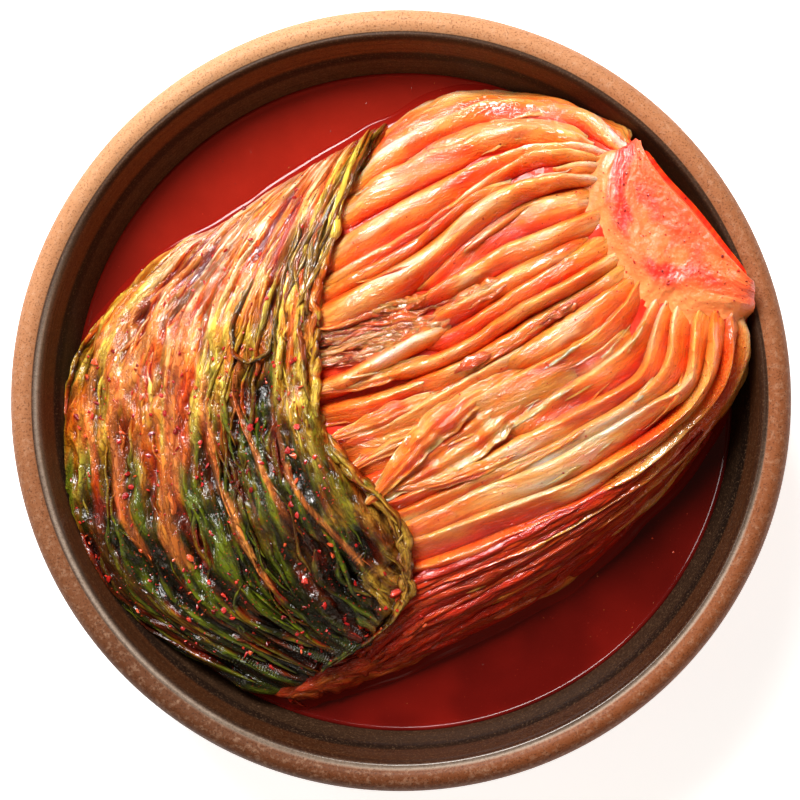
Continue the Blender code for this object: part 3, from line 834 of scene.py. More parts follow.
# Each rib: lift in mm, tone from red (0) to cream (1), rows of (s, north edge, crest, south edge)
NORTH_RIBS = (
    (0.4, 0.85, ((0.06, -0.012, 0.004, 0.022), (0.2, -0.012, 0.006, 0.028), (0.45, -0.01, 0.006, 0.02), (0.77, -0.01, 0.01, 0.03))),
    (1.6, 0.8, ((0.1, 0.008, 0.024, 0.044), (0.2, 0.014, 0.03, 0.052), (0.5, 0.012, 0.02, 0.034), (0.62, 0.014, 0.026, 0.042), (0.77, 0.02, 0.04, 0.065))),
    (3.2, 1.0, ((0.14, 0.036, 0.052, 0.074), (0.2, 0.04, 0.052, 0.078), (0.3, 0.03, 0.04, 0.058), (0.5, 0.03, 0.038, 0.053), (0.6, 0.036, 0.048, 0.063), (0.72, 0.05, 0.066, 0.09), (0.78, 0.06, 0.08, 0.1))),
    (0.4, 0.3, ((0.27, 0.05, 0.06, 0.078), (0.5, 0.05, 0.062, 0.078), (0.66, 0.065, 0.072, 0.086))),
    (4.2, 0.9, ((0.25, 0.064, 0.076, 0.096), (0.4, 0.072, 0.081, 0.098), (0.5, 0.073, 0.084, 0.102), (0.6, 0.076, 0.09, 0.118), (0.7, 0.082, 0.1, 0.137), (0.77, 0.087, 0.11, 0.15))),
    (3.8, 0.95, ((0.2, 0.085, 0.093, 0.108), (0.4, 0.1, 0.108, 0.124), (0.5, 0.11, 0.121, 0.146), (0.6, 0.12, 0.14, 0.172), (0.7, 0.137, 0.158, 0.196), (0.77, 0.15, 0.17, 0.21))),
    (3.9, 0.85, ((0.2, 0.104, 0.111, 0.124), (0.3, 0.108, 0.115, 0.13), (0.4, 0.117, 0.125, 0.14), (0.5, 0.14, 0.15, 0.163), (0.6, 0.167, 0.18, 0.194), (0.7, 0.188, 0.2, 0.22), (0.77, 0.2, 0.212, 0.235))),
    (3.6, 1.0, ((0.2, 0.12, 0.13, 0.154), (0.27, 0.12, 0.132, 0.154), (0.33, 0.126, 0.138, 0.154))),
    (3.4, 0.7, ((0.42, 0.138, 0.147, 0.162), (0.5, 0.15, 0.16, 0.174), (0.6, 0.178, 0.19, 0.207), (0.7, 0.202, 0.215, 0.235), (0.77, 0.215, 0.227, 0.25))),
    (5.2, 1.0, ((0.2, 0.15, 0.163, 0.182), (0.3, 0.15, 0.161, 0.18), (0.4, 0.151, 0.169, 0.197), (0.5, 0.166, 0.188, 0.224), (0.6, 0.2, 0.222, 0.26), (0.7, 0.226, 0.25, 0.3), (0.78, 0.243, 0.27, 0.32))),
    (0.6, 0.5, ((0.22, 0.176, 0.2, 0.25), (0.4, 0.19, 0.212, 0.255), (0.5, 0.21, 0.232, 0.262), (0.6, 0.24, 0.255, 0.275))),
    (1.9, 0.85, ((0.33, 0.193, 0.2, 0.212), (0.45, 0.212, 0.22, 0.23), (0.54, 0.228, 0.236, 0.246))),
    (4.2, 0.75, ((0.2, 0.24, 0.258, 0.31), (0.3, 0.246, 0.26, 0.308), (0.4, 0.25, 0.262, 0.306), (0.5, 0.257, 0.268, 0.3), (0.62, 0.272, 0.282, 0.302))),
    (2.8, 0.6, ((0.24, 0.292, 0.31, 0.345), (0.4, 0.298, 0.325, 0.352), (0.5, 0.3, 0.318, 0.347), (0.6, 0.3, 0.318, 0.345))),
    (2.6, 0.65, ((0.2, 0.31, 0.335, 0.388), (0.35, 0.33, 0.346, 0.388), (0.45, 0.345, 0.36, 0.388), (0.6, 0.345, 0.352, 0.386))),
    (5.2, 1.0, ((0.2, 0.37, 0.388, 0.424), (0.3, 0.372, 0.389, 0.42), (0.4, 0.372, 0.387, 0.414), (0.5, 0.38, 0.395, 0.418), (0.6, 0.376, 0.391, 0.416), (0.67, 0.38, 0.395, 0.41))),
    (5.4, 1.1, ((0.54, 0.325, 0.338, 0.36), (0.6, 0.328, 0.345, 0.372), (0.65, 0.345, 0.366, 0.392), (0.7, 0.362, 0.386, 0.414), (0.78, 0.382, 0.404, 0.432))),
    (2.8, 0.55, ((0.2, 0.41, 0.43, 0.475), (0.35, 0.412, 0.427, 0.46), (0.5, 0.412, 0.425, 0.462), (0.64, 0.41, 0.42, 0.46))),
    (3.2, 0.75, ((0.2, 0.45, 0.468, 0.53), (0.35, 0.45, 0.47, 0.53), (0.5, 0.455, 0.47, 0.512))),
)
SOUTH_RIBS = (
    (3.4, 0.9, ((0.55, 0.41, 0.422, 0.446), (0.6, 0.415, 0.43, 0.468), (0.68, 0.42, 0.441, 0.49), (0.76, 0.43, 0.452, 0.5))),
    (3.2, 0.8, ((0.4, 0.455, 0.464, 0.5), (0.5, 0.45, 0.46, 0.51), (0.6, 0.455, 0.47, 0.52), (0.68, 0.48, 0.5, 0.55), (0.76, 0.5, 0.52, 0.57))),
    (4.6, 0.7, ((0.195, 0.485, 0.5, 0.56), (0.25, 0.515, 0.528, 0.592), (0.3, 0.517, 0.53, 0.6), (0.35, 0.52, 0.533, 0.61), (0.4, 0.51, 0.522, 0.615, 0.8), (0.45, 0.5, 0.51, 0.625, 0.65), (0.5, 0.495, 0.505, 0.63, 0.6), (0.6, 0.5, 0.51, 0.625, 0.5), (0.76, 0.51, 0.52, 0.61, 0.5))),
    (2.4, 0.75, ((0.28, 0.565, 0.58, 0.64), (0.36, 0.558, 0.57, 0.63, 0.7), (0.45, 0.54, 0.552, 0.6, 0.3), (0.55, 0.54, 0.552, 0.59, 0.1))),
    (4.3, 0.85, ((0.2, 0.595, 0.62, 0.68), (0.25, 0.605, 0.62, 0.675), (0.3, 0.605, 0.62, 0.672), (0.37, 0.59, 0.602, 0.67, 0.8), (0.45, 0.575, 0.59, 0.655, 0.3), (0.56, 0.57, 0.585, 0.64, 0.1))),
    (3.2, 0.8, ((0.56, 0.555, 0.566, 0.6), (0.62, 0.55, 0.565, 0.62), (0.68, 0.565, 0.58, 0.64), (0.76, 0.58, 0.6, 0.65))),
    (5.0, 1.0, ((0.2, 0.655, 0.67, 0.735), (0.3, 0.65, 0.665, 0.73), (0.38, 0.66, 0.675, 0.73), (0.41, 0.65, 0.663, 0.72, 0.8), (0.45, 0.63, 0.645, 0.705, 0.65), (0.5, 0.615, 0.63, 0.69, 0.55), (0.55, 0.607, 0.62, 0.68, 0.5), (0.62, 0.615, 0.63, 0.67, 0.6), (0.76, 0.632, 0.643, 0.68, 0.6))),
    (4.6, 0.95, ((0.2, 0.705, 0.72, 0.8), (0.3, 0.705, 0.72, 0.795), (0.35, 0.7, 0.712, 0.79), (0.4, 0.685, 0.697, 0.76, 0.8), (0.44, 0.677, 0.692, 0.745, 0.55), (0.5, 0.655, 0.667, 0.73, 0.5), (0.55, 0.645, 0.656, 0.71, 0.45), (0.6, 0.64, 0.65, 0.7, 0.4), (0.76, 0.655, 0.665, 0.705, 0.5))),
    (5.0, 1.0, ((0.2, 0.785, 0.8, 0.875), (0.3, 0.775, 0.79, 0.865), (0.35, 0.775, 0.79, 0.855), (0.38, 0.755, 0.77, 0.85), (0.4, 0.73, 0.745, 0.835, 0.9), (0.43, 0.71, 0.725, 0.81, 0.8), (0.5, 0.685, 0.7, 0.785, 0.6), (0.6, 0.667, 0.68, 0.765, 0.5), (0.77, 0.675, 0.69, 0.745, 0.6))),
    (4.3, 0.85, ((0.2, 0.84, 0.855, 0.925), (0.35, 0.83, 0.842, 0.915), (0.4, 0.805, 0.817, 0.895), (0.45, 0.79, 0.8, 0.88, 0.8), (0.5, 0.76, 0.77, 0.855, 0.7), (0.55, 0.745, 0.756, 0.835, 0.6), (0.6, 0.73, 0.741, 0.815, 0.6), (0.65, 0.715, 0.726, 0.8, 0.6), (0.78, 0.712, 0.722, 0.775, 0.6))),
    (3.4, 0.65, ((0.2, 0.895, 0.91, 0.975), (0.35, 0.885, 0.9, 0.965), (0.45, 0.85, 0.865, 0.932), (0.55, 0.81, 0.82, 0.882, 0.8), (0.65, 0.78, 0.79, 0.85, 0.7), (0.79, 0.765, 0.775, 0.82, 0.7))),
    (3.0, 0.6, ((0.2, 0.945, 0.96, 1.02), (0.35, 0.935, 0.95, 1.01), (0.45, 0.9, 0.92, 0.98), (0.55, 0.86, 0.87, 0.93), (0.65, 0.83, 0.84, 0.9), (0.82, 0.805, 0.82, 0.87))),
    (2.8, 0.55, ((0.2, 0.985, 0.995, 1.05), (0.35, 0.975, 0.985, 1.04), (0.45, 0.95, 0.962, 1.02), (0.55, 0.91, 0.92, 0.982), (0.65, 0.88, 0.89, 0.952), (0.85, 0.86, 0.875, 0.93))),
    (2.6, 0.5, ((0.42, 0.99, 1.0, 1.06), (0.55, 0.96, 0.97, 1.03), (0.65, 0.93, 0.942, 1.0), (0.75, 0.91, 0.925, 0.98), (0.88, 0.9, 0.912, 0.97))),
    (2.4, 0.5, ((0.5, 0.99, 1.01, 1.07), (0.65, 0.975, 0.987, 1.05), (0.8, 0.95, 0.965, 1.03), (0.93, 0.94, 0.95, 1.01))),
)


def make_body():
    """The head beneath its ribs: one closed body down to its foot under the brine."""
    n = 97
    s, t = np.meshgrid(np.linspace(0, 1, n), bunched(np.linspace(0, 1, n)), indexing="ij")
    x, y = s * LEAF_MM, t * EDGE_MM
    lift = -2.6 + 0.8 * noise(x / 30, y / 6, 0.0, 71) + 0.3 * noise(x / 9, y / 3, 0.0, 72)
    inner = np.minimum.reduce([s, 1 - s, t, 1 - t])
    top, _ = on_head(s, t, lift * step(0, 0.06, inner) - 1.4 * step(0.06, 0, inner))
    value = 0.16 + 0.12 * noise(x / 40, y / 2, 0.0, 73) + 0.08 * noise(x / 10, y / 4, 0.0, 74)
    tint = ramp(LEAF_STOPS, value)
    ring = border(n, n)
    flat_top = top.reshape(-1, 3)
    flat_tint = tint.reshape(-1, 3)
    points, tints = [flat_top], [flat_tint]
    faces = grid_faces(n, n)
    last = ring
    count = n * n
    edge_s, edge_t = s.ravel()[ring], t.ravel()[ring]
    for level in np.linspace(0, 1, 15)[1:]:
        rim = flat_top[ring]
        lower = rim.copy()
        lower[:, :2] = HEAD_CENTRE_MM + (rim[:, :2] - HEAD_CENTRE_MM) * (1 - 0.4 * level**1.5)
        lower[:, 2] = rim[:, 2] + (HEAD_BOTTOM_MM - rim[:, 2]) * level
        angle = np.arctan2(rim[:, 1], rim[:, 0])
        streak = noise(angle * 40, level * 1.5, 0.0, 75)
        lower[:, :2] *= (1 + 0.006 * streak * (level < 1))[:, None]
        points.append(inside_bowl(lower, 1.0))
        side = ramp(LEAF_STOPS, 0.36 + 0.16 * streak - 0.1 * level)
        tints.append(side)
        below = list(range(count, count + len(ring)))
        for i in range(len(ring)):
            j = (i + 1) % len(ring)
            faces.append([last[i], last[j], below[j], below[i]])
        last = below
        count += len(ring)
    faces.append(last)
    points, tints = np.concatenate(points), np.concatenate(tints)
    soup = Soup()
    soup.add(points, faces, tints, points[:, [2, 0]], 0.3)
    return soup.build("head_body", DEEP_LEAF, ("cabbage",))


CORE_NORTH_S = (0.0, 0.07, 0.12, 0.15, 0.2, 0.24)
CORE_NORTH_T = (0.0, 0.02, 0.05, 0.072, 0.08, 0.088)
CORE_FAR_T = (0.0, 0.09, 0.14, 0.2, 0.35, 0.6, 0.8, 1.0)
CORE_FAR_S = (0.225, 0.238, 0.226, 0.206, 0.197, 0.205, 0.208, 0.198)


def make_core_face():
    """The cut root: granular, redder in its middle, with a pale margin along the leaf bases."""
    each = 6
    rows, columns = 15 * each + 1, 26 * each + 1
    s, t = np.meshgrid(np.linspace(0, 1, rows), np.linspace(0, 1, columns), indexing="ij")
    far = np.interp(t, CORE_FAR_T, CORE_FAR_S) + 0.024
    far = far + 0.010 * noise(0.0, t * 17, 0.0, 81) + 0.004 * noise(0.0, t * 44, 0.0, 82)
    u = s * (far + 0.006) - 0.006
    north = np.interp(u, CORE_NORTH_S, CORE_NORTH_T)
    w = north - 0.012 + (1.02 - north) * t
    x, y = u * LEAF_MM, w * 110.0
    near_edge = np.clip(s * 9, 0, 1)
    side_edge = np.clip(np.minimum(t, 1 - t) * 26, 0, 1)
    merge = step(0.62, 1.0, s)
    dish = -1.3 * np.sin(math.pi * np.clip(s * 1.1, 0, 1)) * np.sin(math.pi * np.clip(t, 0, 1)) ** 0.5
    bases = 0.4 * np.abs(noise(0.0, t * 16, 0.0, 87)) * merge
    grain = 0.22 * fbm(x / 1.6, y / 1.6, 0.0, 83) + 0.9 * fbm(x / 13, y / 13, 0.0, 84)
    edge = np.minimum(near_edge, side_edge)
    lift = dish + (grain + 1.6) * step(0, 1, edge) - 2.2 * step(1, 0, edge) + bases
    lift = lift - 4.6 * step(0.68, 1.0, s) ** 1.1
    top, _ = on_head(np.maximum(u, 0), w, lift)
    top[..., :2] = HEAD_CENTRE_MM + (top[..., :2] - HEAD_CENTRE_MM) * (1 - 0.015 * step(1, 0, edge))[..., None]
    under, _ = on_head(np.maximum(u, 0)[::each, ::each], w[::each, ::each], -8.8)
    margin = step(0.62, 0.92, s + 0.16 * noise(x / 8, y / 8, 0.0, 85))
    patch = fbm(x / 16, y / 16, 0.0, 86)
    band = np.exp(-(((s - 0.56 + 0.12 * noise(x / 9, y / 9, 0.0, 88)) / 0.24) ** 2)) * step(0.95, 0.35, t)
    tint = mix(srgb(238, 88, 42), srgb(206, 30, 26), step(0.15, 0.95, band + 0.8 * patch) * 0.9)
    tint = mix(tint, srgb(242, 128, 66), step(-0.05, -0.5, patch) * 0.7)
    tint = mix(tint, srgb(242, 150, 82), margin * 0.75)
    tint = mix(tint, srgb(240, 104, 48), step(0.22, 0.0, s) * 0.8)
    soup = Soup()
    slab(soup, top, under, each, tint, np.stack([x, y], axis=-1), np.full(s.shape, 0.4))
    return soup.build("core_cut_face", core_material(), ("cabbage",))


def make_ribs():
    groups = (
        ("leaf_ribs_north", NORTH_RIBS, 100, ROUND_RIB),
        ("leaf_ribs_south", SOUTH_RIBS, 300, FOLD_RIB),
    )
    for name, table, seed, kind in groups:
        soup = Soup()
        for k, (lift, tone, rows) in enumerate(table):
            strip(soup, lift, tone, rows, seed + 7 * k, kind)
        soup.build(name, LEAF, ("cabbage",))


def ribbon(soup, path, width, lift, height, paint, seed, rows=60, columns=9, frill=0.0, thick=0.9, taper=0.2, pleats=0.0, wave=0.45):
    """A thin leaf along a path of (s, t): crowned across, its edges able to frill."""
    path = np.array(path, float)
    reach = np.concatenate([[0], np.cumsum(np.hypot(*(np.diff(path, axis=0) * (330, 220)).T))])
    u = np.linspace(0, 1, rows)
    s = smooth_line(u * reach[-1], reach, path[:, 0], 4)
    t = smooth_line(u * reach[-1], reach, path[:, 1], 4)
    if np.ndim(lift):
        lift = np.interp(u, np.linspace(0, 1, len(lift)), lift)
    lifts = lift + 0.7 * noise(u * reach[-1] / 12, 0.3, 0.0, seed + 1)
    s = s + 0.0022 * noise(u * reach[-1] / 6, 0.1, 0.0, seed + 6)
    t = t + 0.0022 * noise(u * reach[-1] / 6, 0.6, 0.0, seed + 7)
    centre, normal = on_head(s, t, lifts)
    run = np.gradient(centre, axis=0)
    run /= np.maximum(np.linalg.norm(run, axis=-1, keepdims=True), 1e-9)
    side = np.cross(normal, run)
    side /= np.maximum(np.linalg.norm(side, axis=-1, keepdims=True), 1e-9)
    ends = np.clip(np.minimum(u, 1 - u) / taper, 0, 1) ** 0.6
    wide = 0.5 * width * (0.12 + 0.88 * ends) * (1 + wave * noise(u * reach[-1] / 6, 0.7, 0.0, seed + 2))
    v = np.linspace(-1, 1, columns)[None, :]
    lean = 0.5 * noise(u * reach[-1] / 18, 0.0, 0.0, seed + 3)[:, None]
    crown_line = height * (1 - np.abs(v - 0.4 * lean) ** 1.6).clip(0, 1)
    crease = 0.28 * height * noise(u[:, None] * reach[-1] / 5, v * 2.2, 0.0, seed + 4)
    crease = crease + pleats * np.cos(math.pi * (3 * v + 0.6 * lean + 1))
    edge = frill * np.abs(v) ** 3 * noise(u[:, None] * reach[-1] / 2.6, v, 0.0, seed + 5)
    high = (crown_line + crease + edge) * (0.2 + 0.8 * ends[:, None])
    out = (v * wide[:, None])[..., None] * side[:, None]
    top = centre[:, None] + out + high[..., None] * normal[:, None]
    low = np.linspace(0.8, -0.8, 3)[None, :]
    low_out = (low * wide[:, None])[..., None] * side[:, None]
    under = centre[:, None] + low_out - thick * (0.3 + 0.7 * ends[:, None, None]) * normal[:, None]
    along = np.broadcast_to((u * reach[-1])[:, None], top.shape[:2])
    across = np.broadcast_to(v * width / 2, top.shape[:2])
    # The crown's share, which most paints use to make the crown lighter than the edges: painted light and shade
    crest = (crown_line / max(height, 0.1)).clip(0, 1)
    tint = paint(np.broadcast_to(s[:, None], crest.shape), np.broadcast_to(t[:, None], crest.shape), crest, along, across, seed)
    uvs = np.stack([along, across + 5.3 * seed], axis=-1)
    tube(soup, inside_bowl(top, 0.5), inside_bowl(under, 0.5), tint, uvs, np.full(crest.shape, 0.4))


# ------------------------------------------------------------------ the wrap of outer leaves
WRAP_EDGE_T = (0, 0.02, 0.05, 0.1, 0.14, 0.18, 0.22, 0.35, 0.48, 0.54, 0.6, 0.65, 0.69, 0.76, 0.83, 0.87, 0.9, 0.92, 0.96, 1.0)
WRAP_EDGE_S = (0.722, 0.722, 0.75, 0.756, 0.751, 0.751, 0.746, 0.739, 0.74, 0.728, 0.718, 0.712, 0.714, 0.728, 0.747, 0.779, 0.81, 0.855, 0.925, 1.0)
GREEN_S = (0.70, 0.78, 0.80, 0.84, 0.88, 0.92, 0.96, 0.99, 1.03)
GREEN_T = (-0.06, -0.02, 0.12, 0.17, 0.33, 0.36, 0.25, 0.10, 0.04)
DARK_T = (0.64, 0.42, 0.27, 0.40, 0.48, 0.50, 0.51, 0.54, 0.56)
STEM_ORANGE = srgb(208, 92, 28)
STEM_CREAM = srgb(240, 158, 82)
WRAP_RED = srgb(198, 32, 10)

# Where pale leaf stems run down the wrap: half width in s, paleness, rows of (t, s)
STEMS = (
    (0.006, 0.6, ((-0.02, 0.82), (0.05, 0.85), (0.11, 0.885), (0.2, 0.91), (0.3, 0.935), (0.42, 0.945))),
    (0.007, 0.8, ((-0.02, 0.86), (0.1, 0.915), (0.2, 0.955), (0.3, 0.985))),
    (0.008, 0.25, ((0.22, 0.90), (0.3, 0.892), (0.45, 0.893), (0.56, 0.90), (0.66, 0.908), (0.72, 0.905))),
    (0.0035, 0.6, ((0.34, 0.862), (0.45, 0.862), (0.55, 0.858), (0.62, 0.850), (0.68, 0.846), (0.76, 0.842))),
    (0.0028, 0.4, ((0.3, 0.825), (0.4, 0.835), (0.47, 0.822), (0.56, 0.81), (0.64, 0.8))),
    (0.0028, 0.45, ((0.46, 0.79), (0.56, 0.79), (0.62, 0.778), (0.68, 0.765), (0.74, 0.756))),
    (0.005, 0.2, ((0.34, 0.948), (0.45, 0.95), (0.6, 0.945), (0.7, 0.935))),
    (0.003, 0.4, ((0.3, 0.975), (0.42, 0.972), (0.56, 0.968))),
    (0.004, 0.6, ((-0.02, 0.79), (0.06, 0.80), (0.12, 0.81), (0.18, 0.815))),
)


def stem_share(s, t):
    """How much of a place is stem, and how pale that stem is."""
    share = np.zeros(s.shape)
    pale = np.zeros(s.shape)
    for half, paleness, rows in STEMS:
        rows = np.array(rows)
        centre = np.interp(t, rows[:, 0], rows[:, 1])
        ends = step(rows[0, 0] - 0.02, rows[0, 0] + 0.03, t) * step(rows[-1, 0] + 0.03, rows[-1, 0] - 0.05, t)
        near = np.clip(1 - ((s - centre) / (half * 1.5)) ** 2, 0, 1) * ends
        pale = np.where(near > share, paleness, pale)
        share = np.maximum(share, near)
    return share, pale


def wrap_tint(s, t, crest, along, across, seed):
    """Colour of the outer leaves: pale red-smeared stems above, olive, then dark green below."""
    x, y = s * 350, t * 223
    streak = noise(x / 1.2, y / 26, 0.0, 141 + seed % 3)
    blotch = noise(x / 2.2, y / 20, 0.0, 146 + seed % 2)
    broad = fbm(x / 7, y / 60, 0.0, 142)
    change = 0.10 * broad + 0.07 * streak + 0.05 * blotch
    green = step(-0.10, 0.10, t - np.interp(s, GREEN_S, GREEN_T) + change)
    dark = step(-0.10, 0.12, t - np.interp(s, GREEN_S, DARK_T) + change)
    light = crest + 0.45 * streak + 0.35 * blotch + 0.3 * broad
    pale = mix(srgb(164, 20, 5), srgb(228, 84, 20), step(-0.1, 0.25, light))
    pale = mix(pale, srgb(242, 148, 62), step(0.22, 0.56, light))
    pale = mix(pale, srgb(248, 212, 172), step(0.56, 0.95, light))
    olive = mix(srgb(88, 44, 3), srgb(170, 118, 12), step(0.0, 0.42, light))
    olive = mix(olive, srgb(228, 194, 76), step(0.45, 0.95, light))
    deep = mix(srgb(10, 7, 1), srgb(29, 34, 2), step(0.1, 0.62, light))
    deep = mix(deep, srgb(86, 98, 12), step(0.62, 1.15, light))
    rust = step(0.05, 0.5, noise(x / 3.0, y / 18, 0.0, 147))
    olive = mix(olive, srgb(204, 66, 14), rust * 0.7)
    deep = mix(deep, srgb(100, 24, 5), rust * 0.32)
    tint = mix(mix(pale, olive, green), deep, dark)
    stem, paleness = stem_share(s + 0.002 * noise(y / 9, x / 20, 0.0, 143), t)
    stem_colour = mix(STEM_ORANGE, STEM_CREAM, paleness)
    # Stems are lighter on the crumple crests and darker in its hollows: painted light and shade
    stem_colour = stem_colour * (0.62 + 0.38 * crest * (1 + streak))[..., None]
    tint = mix(tint, stem_colour, step(0.2, 0.8, stem + 0.25 * streak) * (0.85 - 0.25 * dark))
    red = step(0.08, 0.5, fbm(x / 3.6, y / 15, 0.0, 144)) * (0.8 - 0.35 * dark - 0.15 * green)
    tint = mix(tint, WRAP_RED, red * (1 - 0.4 * crest))
    brown = step(-0.25, 0.3, fbm(x / 12, y / 22, 0.0, 145)) * step(0.52, 0.66, t) * step(0.83, 0.74, s)
    return mix(tint, mix(srgb(104, 50, 6), srgb(204, 148, 56), step(0.2, 1.1, light)), 0.6 * brown)


def crumple(x, y):
    """Height in millimetres of the crumpled leaves and their share of crest, stretched along y."""
    bend = 4.4 * noise(x / 14, y / 24, 0.0, 151)
    kink = 1.6 * noise(x / 5, y / 9, 0.0, 157)
    wide = 1 - np.abs(noise((x + bend) / 8.5, y / 40, 0.0, 152)) * 2
    sharp = 1 - np.abs(noise((x + 0.8 * bend + kink) / 3.4, y / 17, 0.0, 153)) * 2
    fine = 1 - np.abs(noise((x + 0.5 * bend + kink) / 1.35, y / 6.5, 0.0, 154)) * 2
    frail = step(-0.15, 0.25, noise(x / 9, y / 15, 0.0, 158))
    swell = fbm(x / 22, y / 60, 0.0, 155)
    pucker = noise(x / 2.6, y / 8, 0.0, 156)
    pocket = step(-0.2, -0.75, wide + 0.4 * swell)
    height = 2.2 * swell + 1.7 * wide + 0.9 * sharp + (0.35 + 0.5 * frail) * fine
    height = height + 0.45 * pucker - 1.6 * pocket
    crest = np.clip(0.46 + 0.20 * wide + 0.28 * sharp + 0.22 * frail * fine + 0.10 * pucker, 0, 1)
    return height, crest


def make_wrap():
    each = 8
    rows, columns = 27 * each + 1, 46 * each + 1
    v, w = np.meshgrid(np.linspace(0, 1, rows), np.linspace(0, 1, columns), indexing="ij")
    t = -0.055 + 1.045 * bunched(v)
    edge = np.interp(t, WRAP_EDGE_T, WRAP_EDGE_S) + 0.004 * noise(t * 30, 0.0, 0.0, 161) + 0.003 * noise(t * 90, 0.0, 0.0, 162)
    edge = np.minimum(edge, 0.98)
    s = edge + (1.06 - edge) * w
    x, y = s * 350, t * 223
    height, crest = crumple(x, y)
    stem, paleness = stem_share(s, t)
    height = height * (1 - 0.55 * stem) + 1.3 * stem
    rim = np.minimum.reduce([w * 16, (1 - w) * 9, v * 14, (1 - v) * 12])
    fade = step(0, 1, rim)
    lift = -0.6 + (4.6 + height) * fade**0.7
    room = np.clip((1.0 - np.maximum(s, 1)) * 14 + 1, 0.25, 1)
    lift = lift * (0.16 + 0.84 * step(-0.02, 0.13, t))
    top, _ = on_head(s, t, np.minimum(lift, 7.0) * room)
    under, _ = on_head(s[::each, ::each], t[::each, ::each], -2.6)
    tint = wrap_tint(s, t, crest, y, x, 0)
    shade = np.clip(0.2 + 1.4 * crest**1.25, 0, 1.3)
    shade = shade * (1 - 0.22 * step(0.84, 0.95, s) * step(0.6, 0.3, t)) * (1 - 0.15 * step(0.4, 0.7, t))
    tint = tint * shade[..., None]
    soup = Soup()
    slab(soup, top, under, each, tint, np.stack([y, x], axis=-1), np.full(s.shape, 0.5))
    return soup.build("outer_leaf_sheet", WRAP_LEAF, ("leaf_wrap",))


def make_wrap_ribbons():
    """Loose folds and stems lying over the crumpled sheet."""
    soup = Soup()
    for k, (half, paleness, rows) in enumerate(STEMS):
        path = [(s, t) for t, s in rows]

        def paint(s, t, crest, along, across, seed, p=paleness):
            base = mix(STEM_ORANGE, STEM_CREAM, np.full(s.shape, p) * (0.4 + 0.6 * crest))
            streak = noise(across / 0.7, along / 16, 0.0, seed) + 0.5 * noise(along / 7, 0.0, 0.0, seed + 1)
            return mix(base, srgb(150, 44, 12), np.clip(0.45 + 0.7 * streak - 0.5 * crest, 0, 0.9))

        lift = 4.0 if rows[0][0] > 0.05 else (-0.8, 1.6, 3.4, 4.0, 4.0, 4.0)
        ribbon(soup, path, 400 * half, lift, 1.2, paint, 500 + k, rows=110, columns=11, frill=0.5, taper=0.35)
    for k in range(64):
        t0 = RNG.uniform(0.12, 0.80)
        s0 = RNG.uniform(np.interp(t0, WRAP_EDGE_T, WRAP_EDGE_S) + 0.004, 0.995)
        reach = min(RNG.uniform(0.12, 0.34), 0.95 - t0)
        drift = RNG.uniform(-0.012, 0.018)
        lean = np.interp(t0, (0, 0.25, 0.6, 0.9), (0.12, 0.02, -0.01, 0.05))
        path = []
        for u in np.linspace(0, 1, 7):
            t = t0 + reach * u
            s = s0 + drift * math.sin(3 * u) + lean * reach * u + 0.004 * math.sin(7 * u + k)
            low = float(np.interp(t, WRAP_EDGE_T, WRAP_EDGE_S))
            path.append((max(low, min(s, 1.012)), t))
        width = 1.0 + 2.6 * RNG.uniform(0, 1) ** 2
        ribbon(soup, path, width, RNG.uniform(3.4, 5.0), RNG.uniform(0.7, 1.6), wrap_tint, 600 + k, rows=76, columns=8, frill=1.0)
    return soup.build("outer_leaf_folds", WRAP_LEAF, ("leaf_wrap",))


def make_edge_frill():
    """The wrap's free edge over the ribs: curled tips, brown and olive."""
    soup = Soup()
    for k in range(30):
        t0 = RNG.uniform(0.0, 0.82)
        reach = RNG.uniform(0.05, 0.13)
        path = []
        for u in np.linspace(0, 1, 6):
            t = t0 + reach * u
            path.append((float(np.interp(t, WRAP_EDGE_T, WRAP_EDGE_S)) + 0.004 * math.sin(5 * u + k) + RNG.uniform(-0.002, 0.004), t))
        ribbon(soup, path, RNG.uniform(2.2, 4.0), RNG.uniform(2.6, 4.8), RNG.uniform(1.0, 2.0), wrap_tint, 800 + k, rows=40, columns=9, frill=1.6)
    return soup.build("outer_leaf_frill", WRAP_LEAF, ("leaf_wrap",))


# ------------------------------------------------------------------ torn and loose leaves
def trees(names):
    made = []
    for name in names:
        mesh = bpy.data.objects[name].data
        points = [v.co for v in mesh.vertices]
        made.append(BVHTree.FromPolygons(points, [tuple(p.vertices) for p in mesh.polygons]))
    return made


def drop_rays(bvhs, x, y):
    """First hit from above at a place in millimetres."""
    best = None
    for tree in bvhs:
        hit = tree.ray_cast(Vector((x * MM, y * MM, 0.2)), Vector((0, 0, -1)), 0.3)
        if hit[0] is not None and (best is None or hit[0].z > best[0].z):
            best = (hit[0], hit[1])
    return best


def draped(bvhs, path, rows=24):
    """Lifts that let a strand along a path lie on what is below it, bridging narrow valleys."""
    path = np.array(path, float)
    u = np.linspace(0, len(path) - 1, rows)
    s = np.interp(u, np.arange(len(path)), path[:, 0])
    t = np.interp(u, np.arange(len(path)), path[:, 1])
    points, normals = on_head(s, t)
    lifts = np.zeros(rows)
    for k in range(rows):
        hit = drop_rays(bvhs, points[k, 0], points[k, 1])
        if hit is not None:
            lifts[k] = (hit[0].z / MM - points[k, 2]) * max(normals[k, 2], 0.3)
    padded = np.pad(lifts, 2, mode="edge")
    return np.max([padded[2:-2], 0.5 * (padded[:-4] + padded[4:]), 0.5 * (padded[1:-3] + padded[3:-1])], axis=0)


def paint_heart(s, t, crest, along, across, seed):
    streak = noise(across / 0.6, along / 9, 0.0, seed)
    value = 0.26 + 0.34 * crest + 0.16 * streak + 0.14 * math.sin(seed * 2.3)
    return mix(ramp(LEAF_STOPS, value), srgb(206, 84, 40), np.full(s.shape, 0.35))


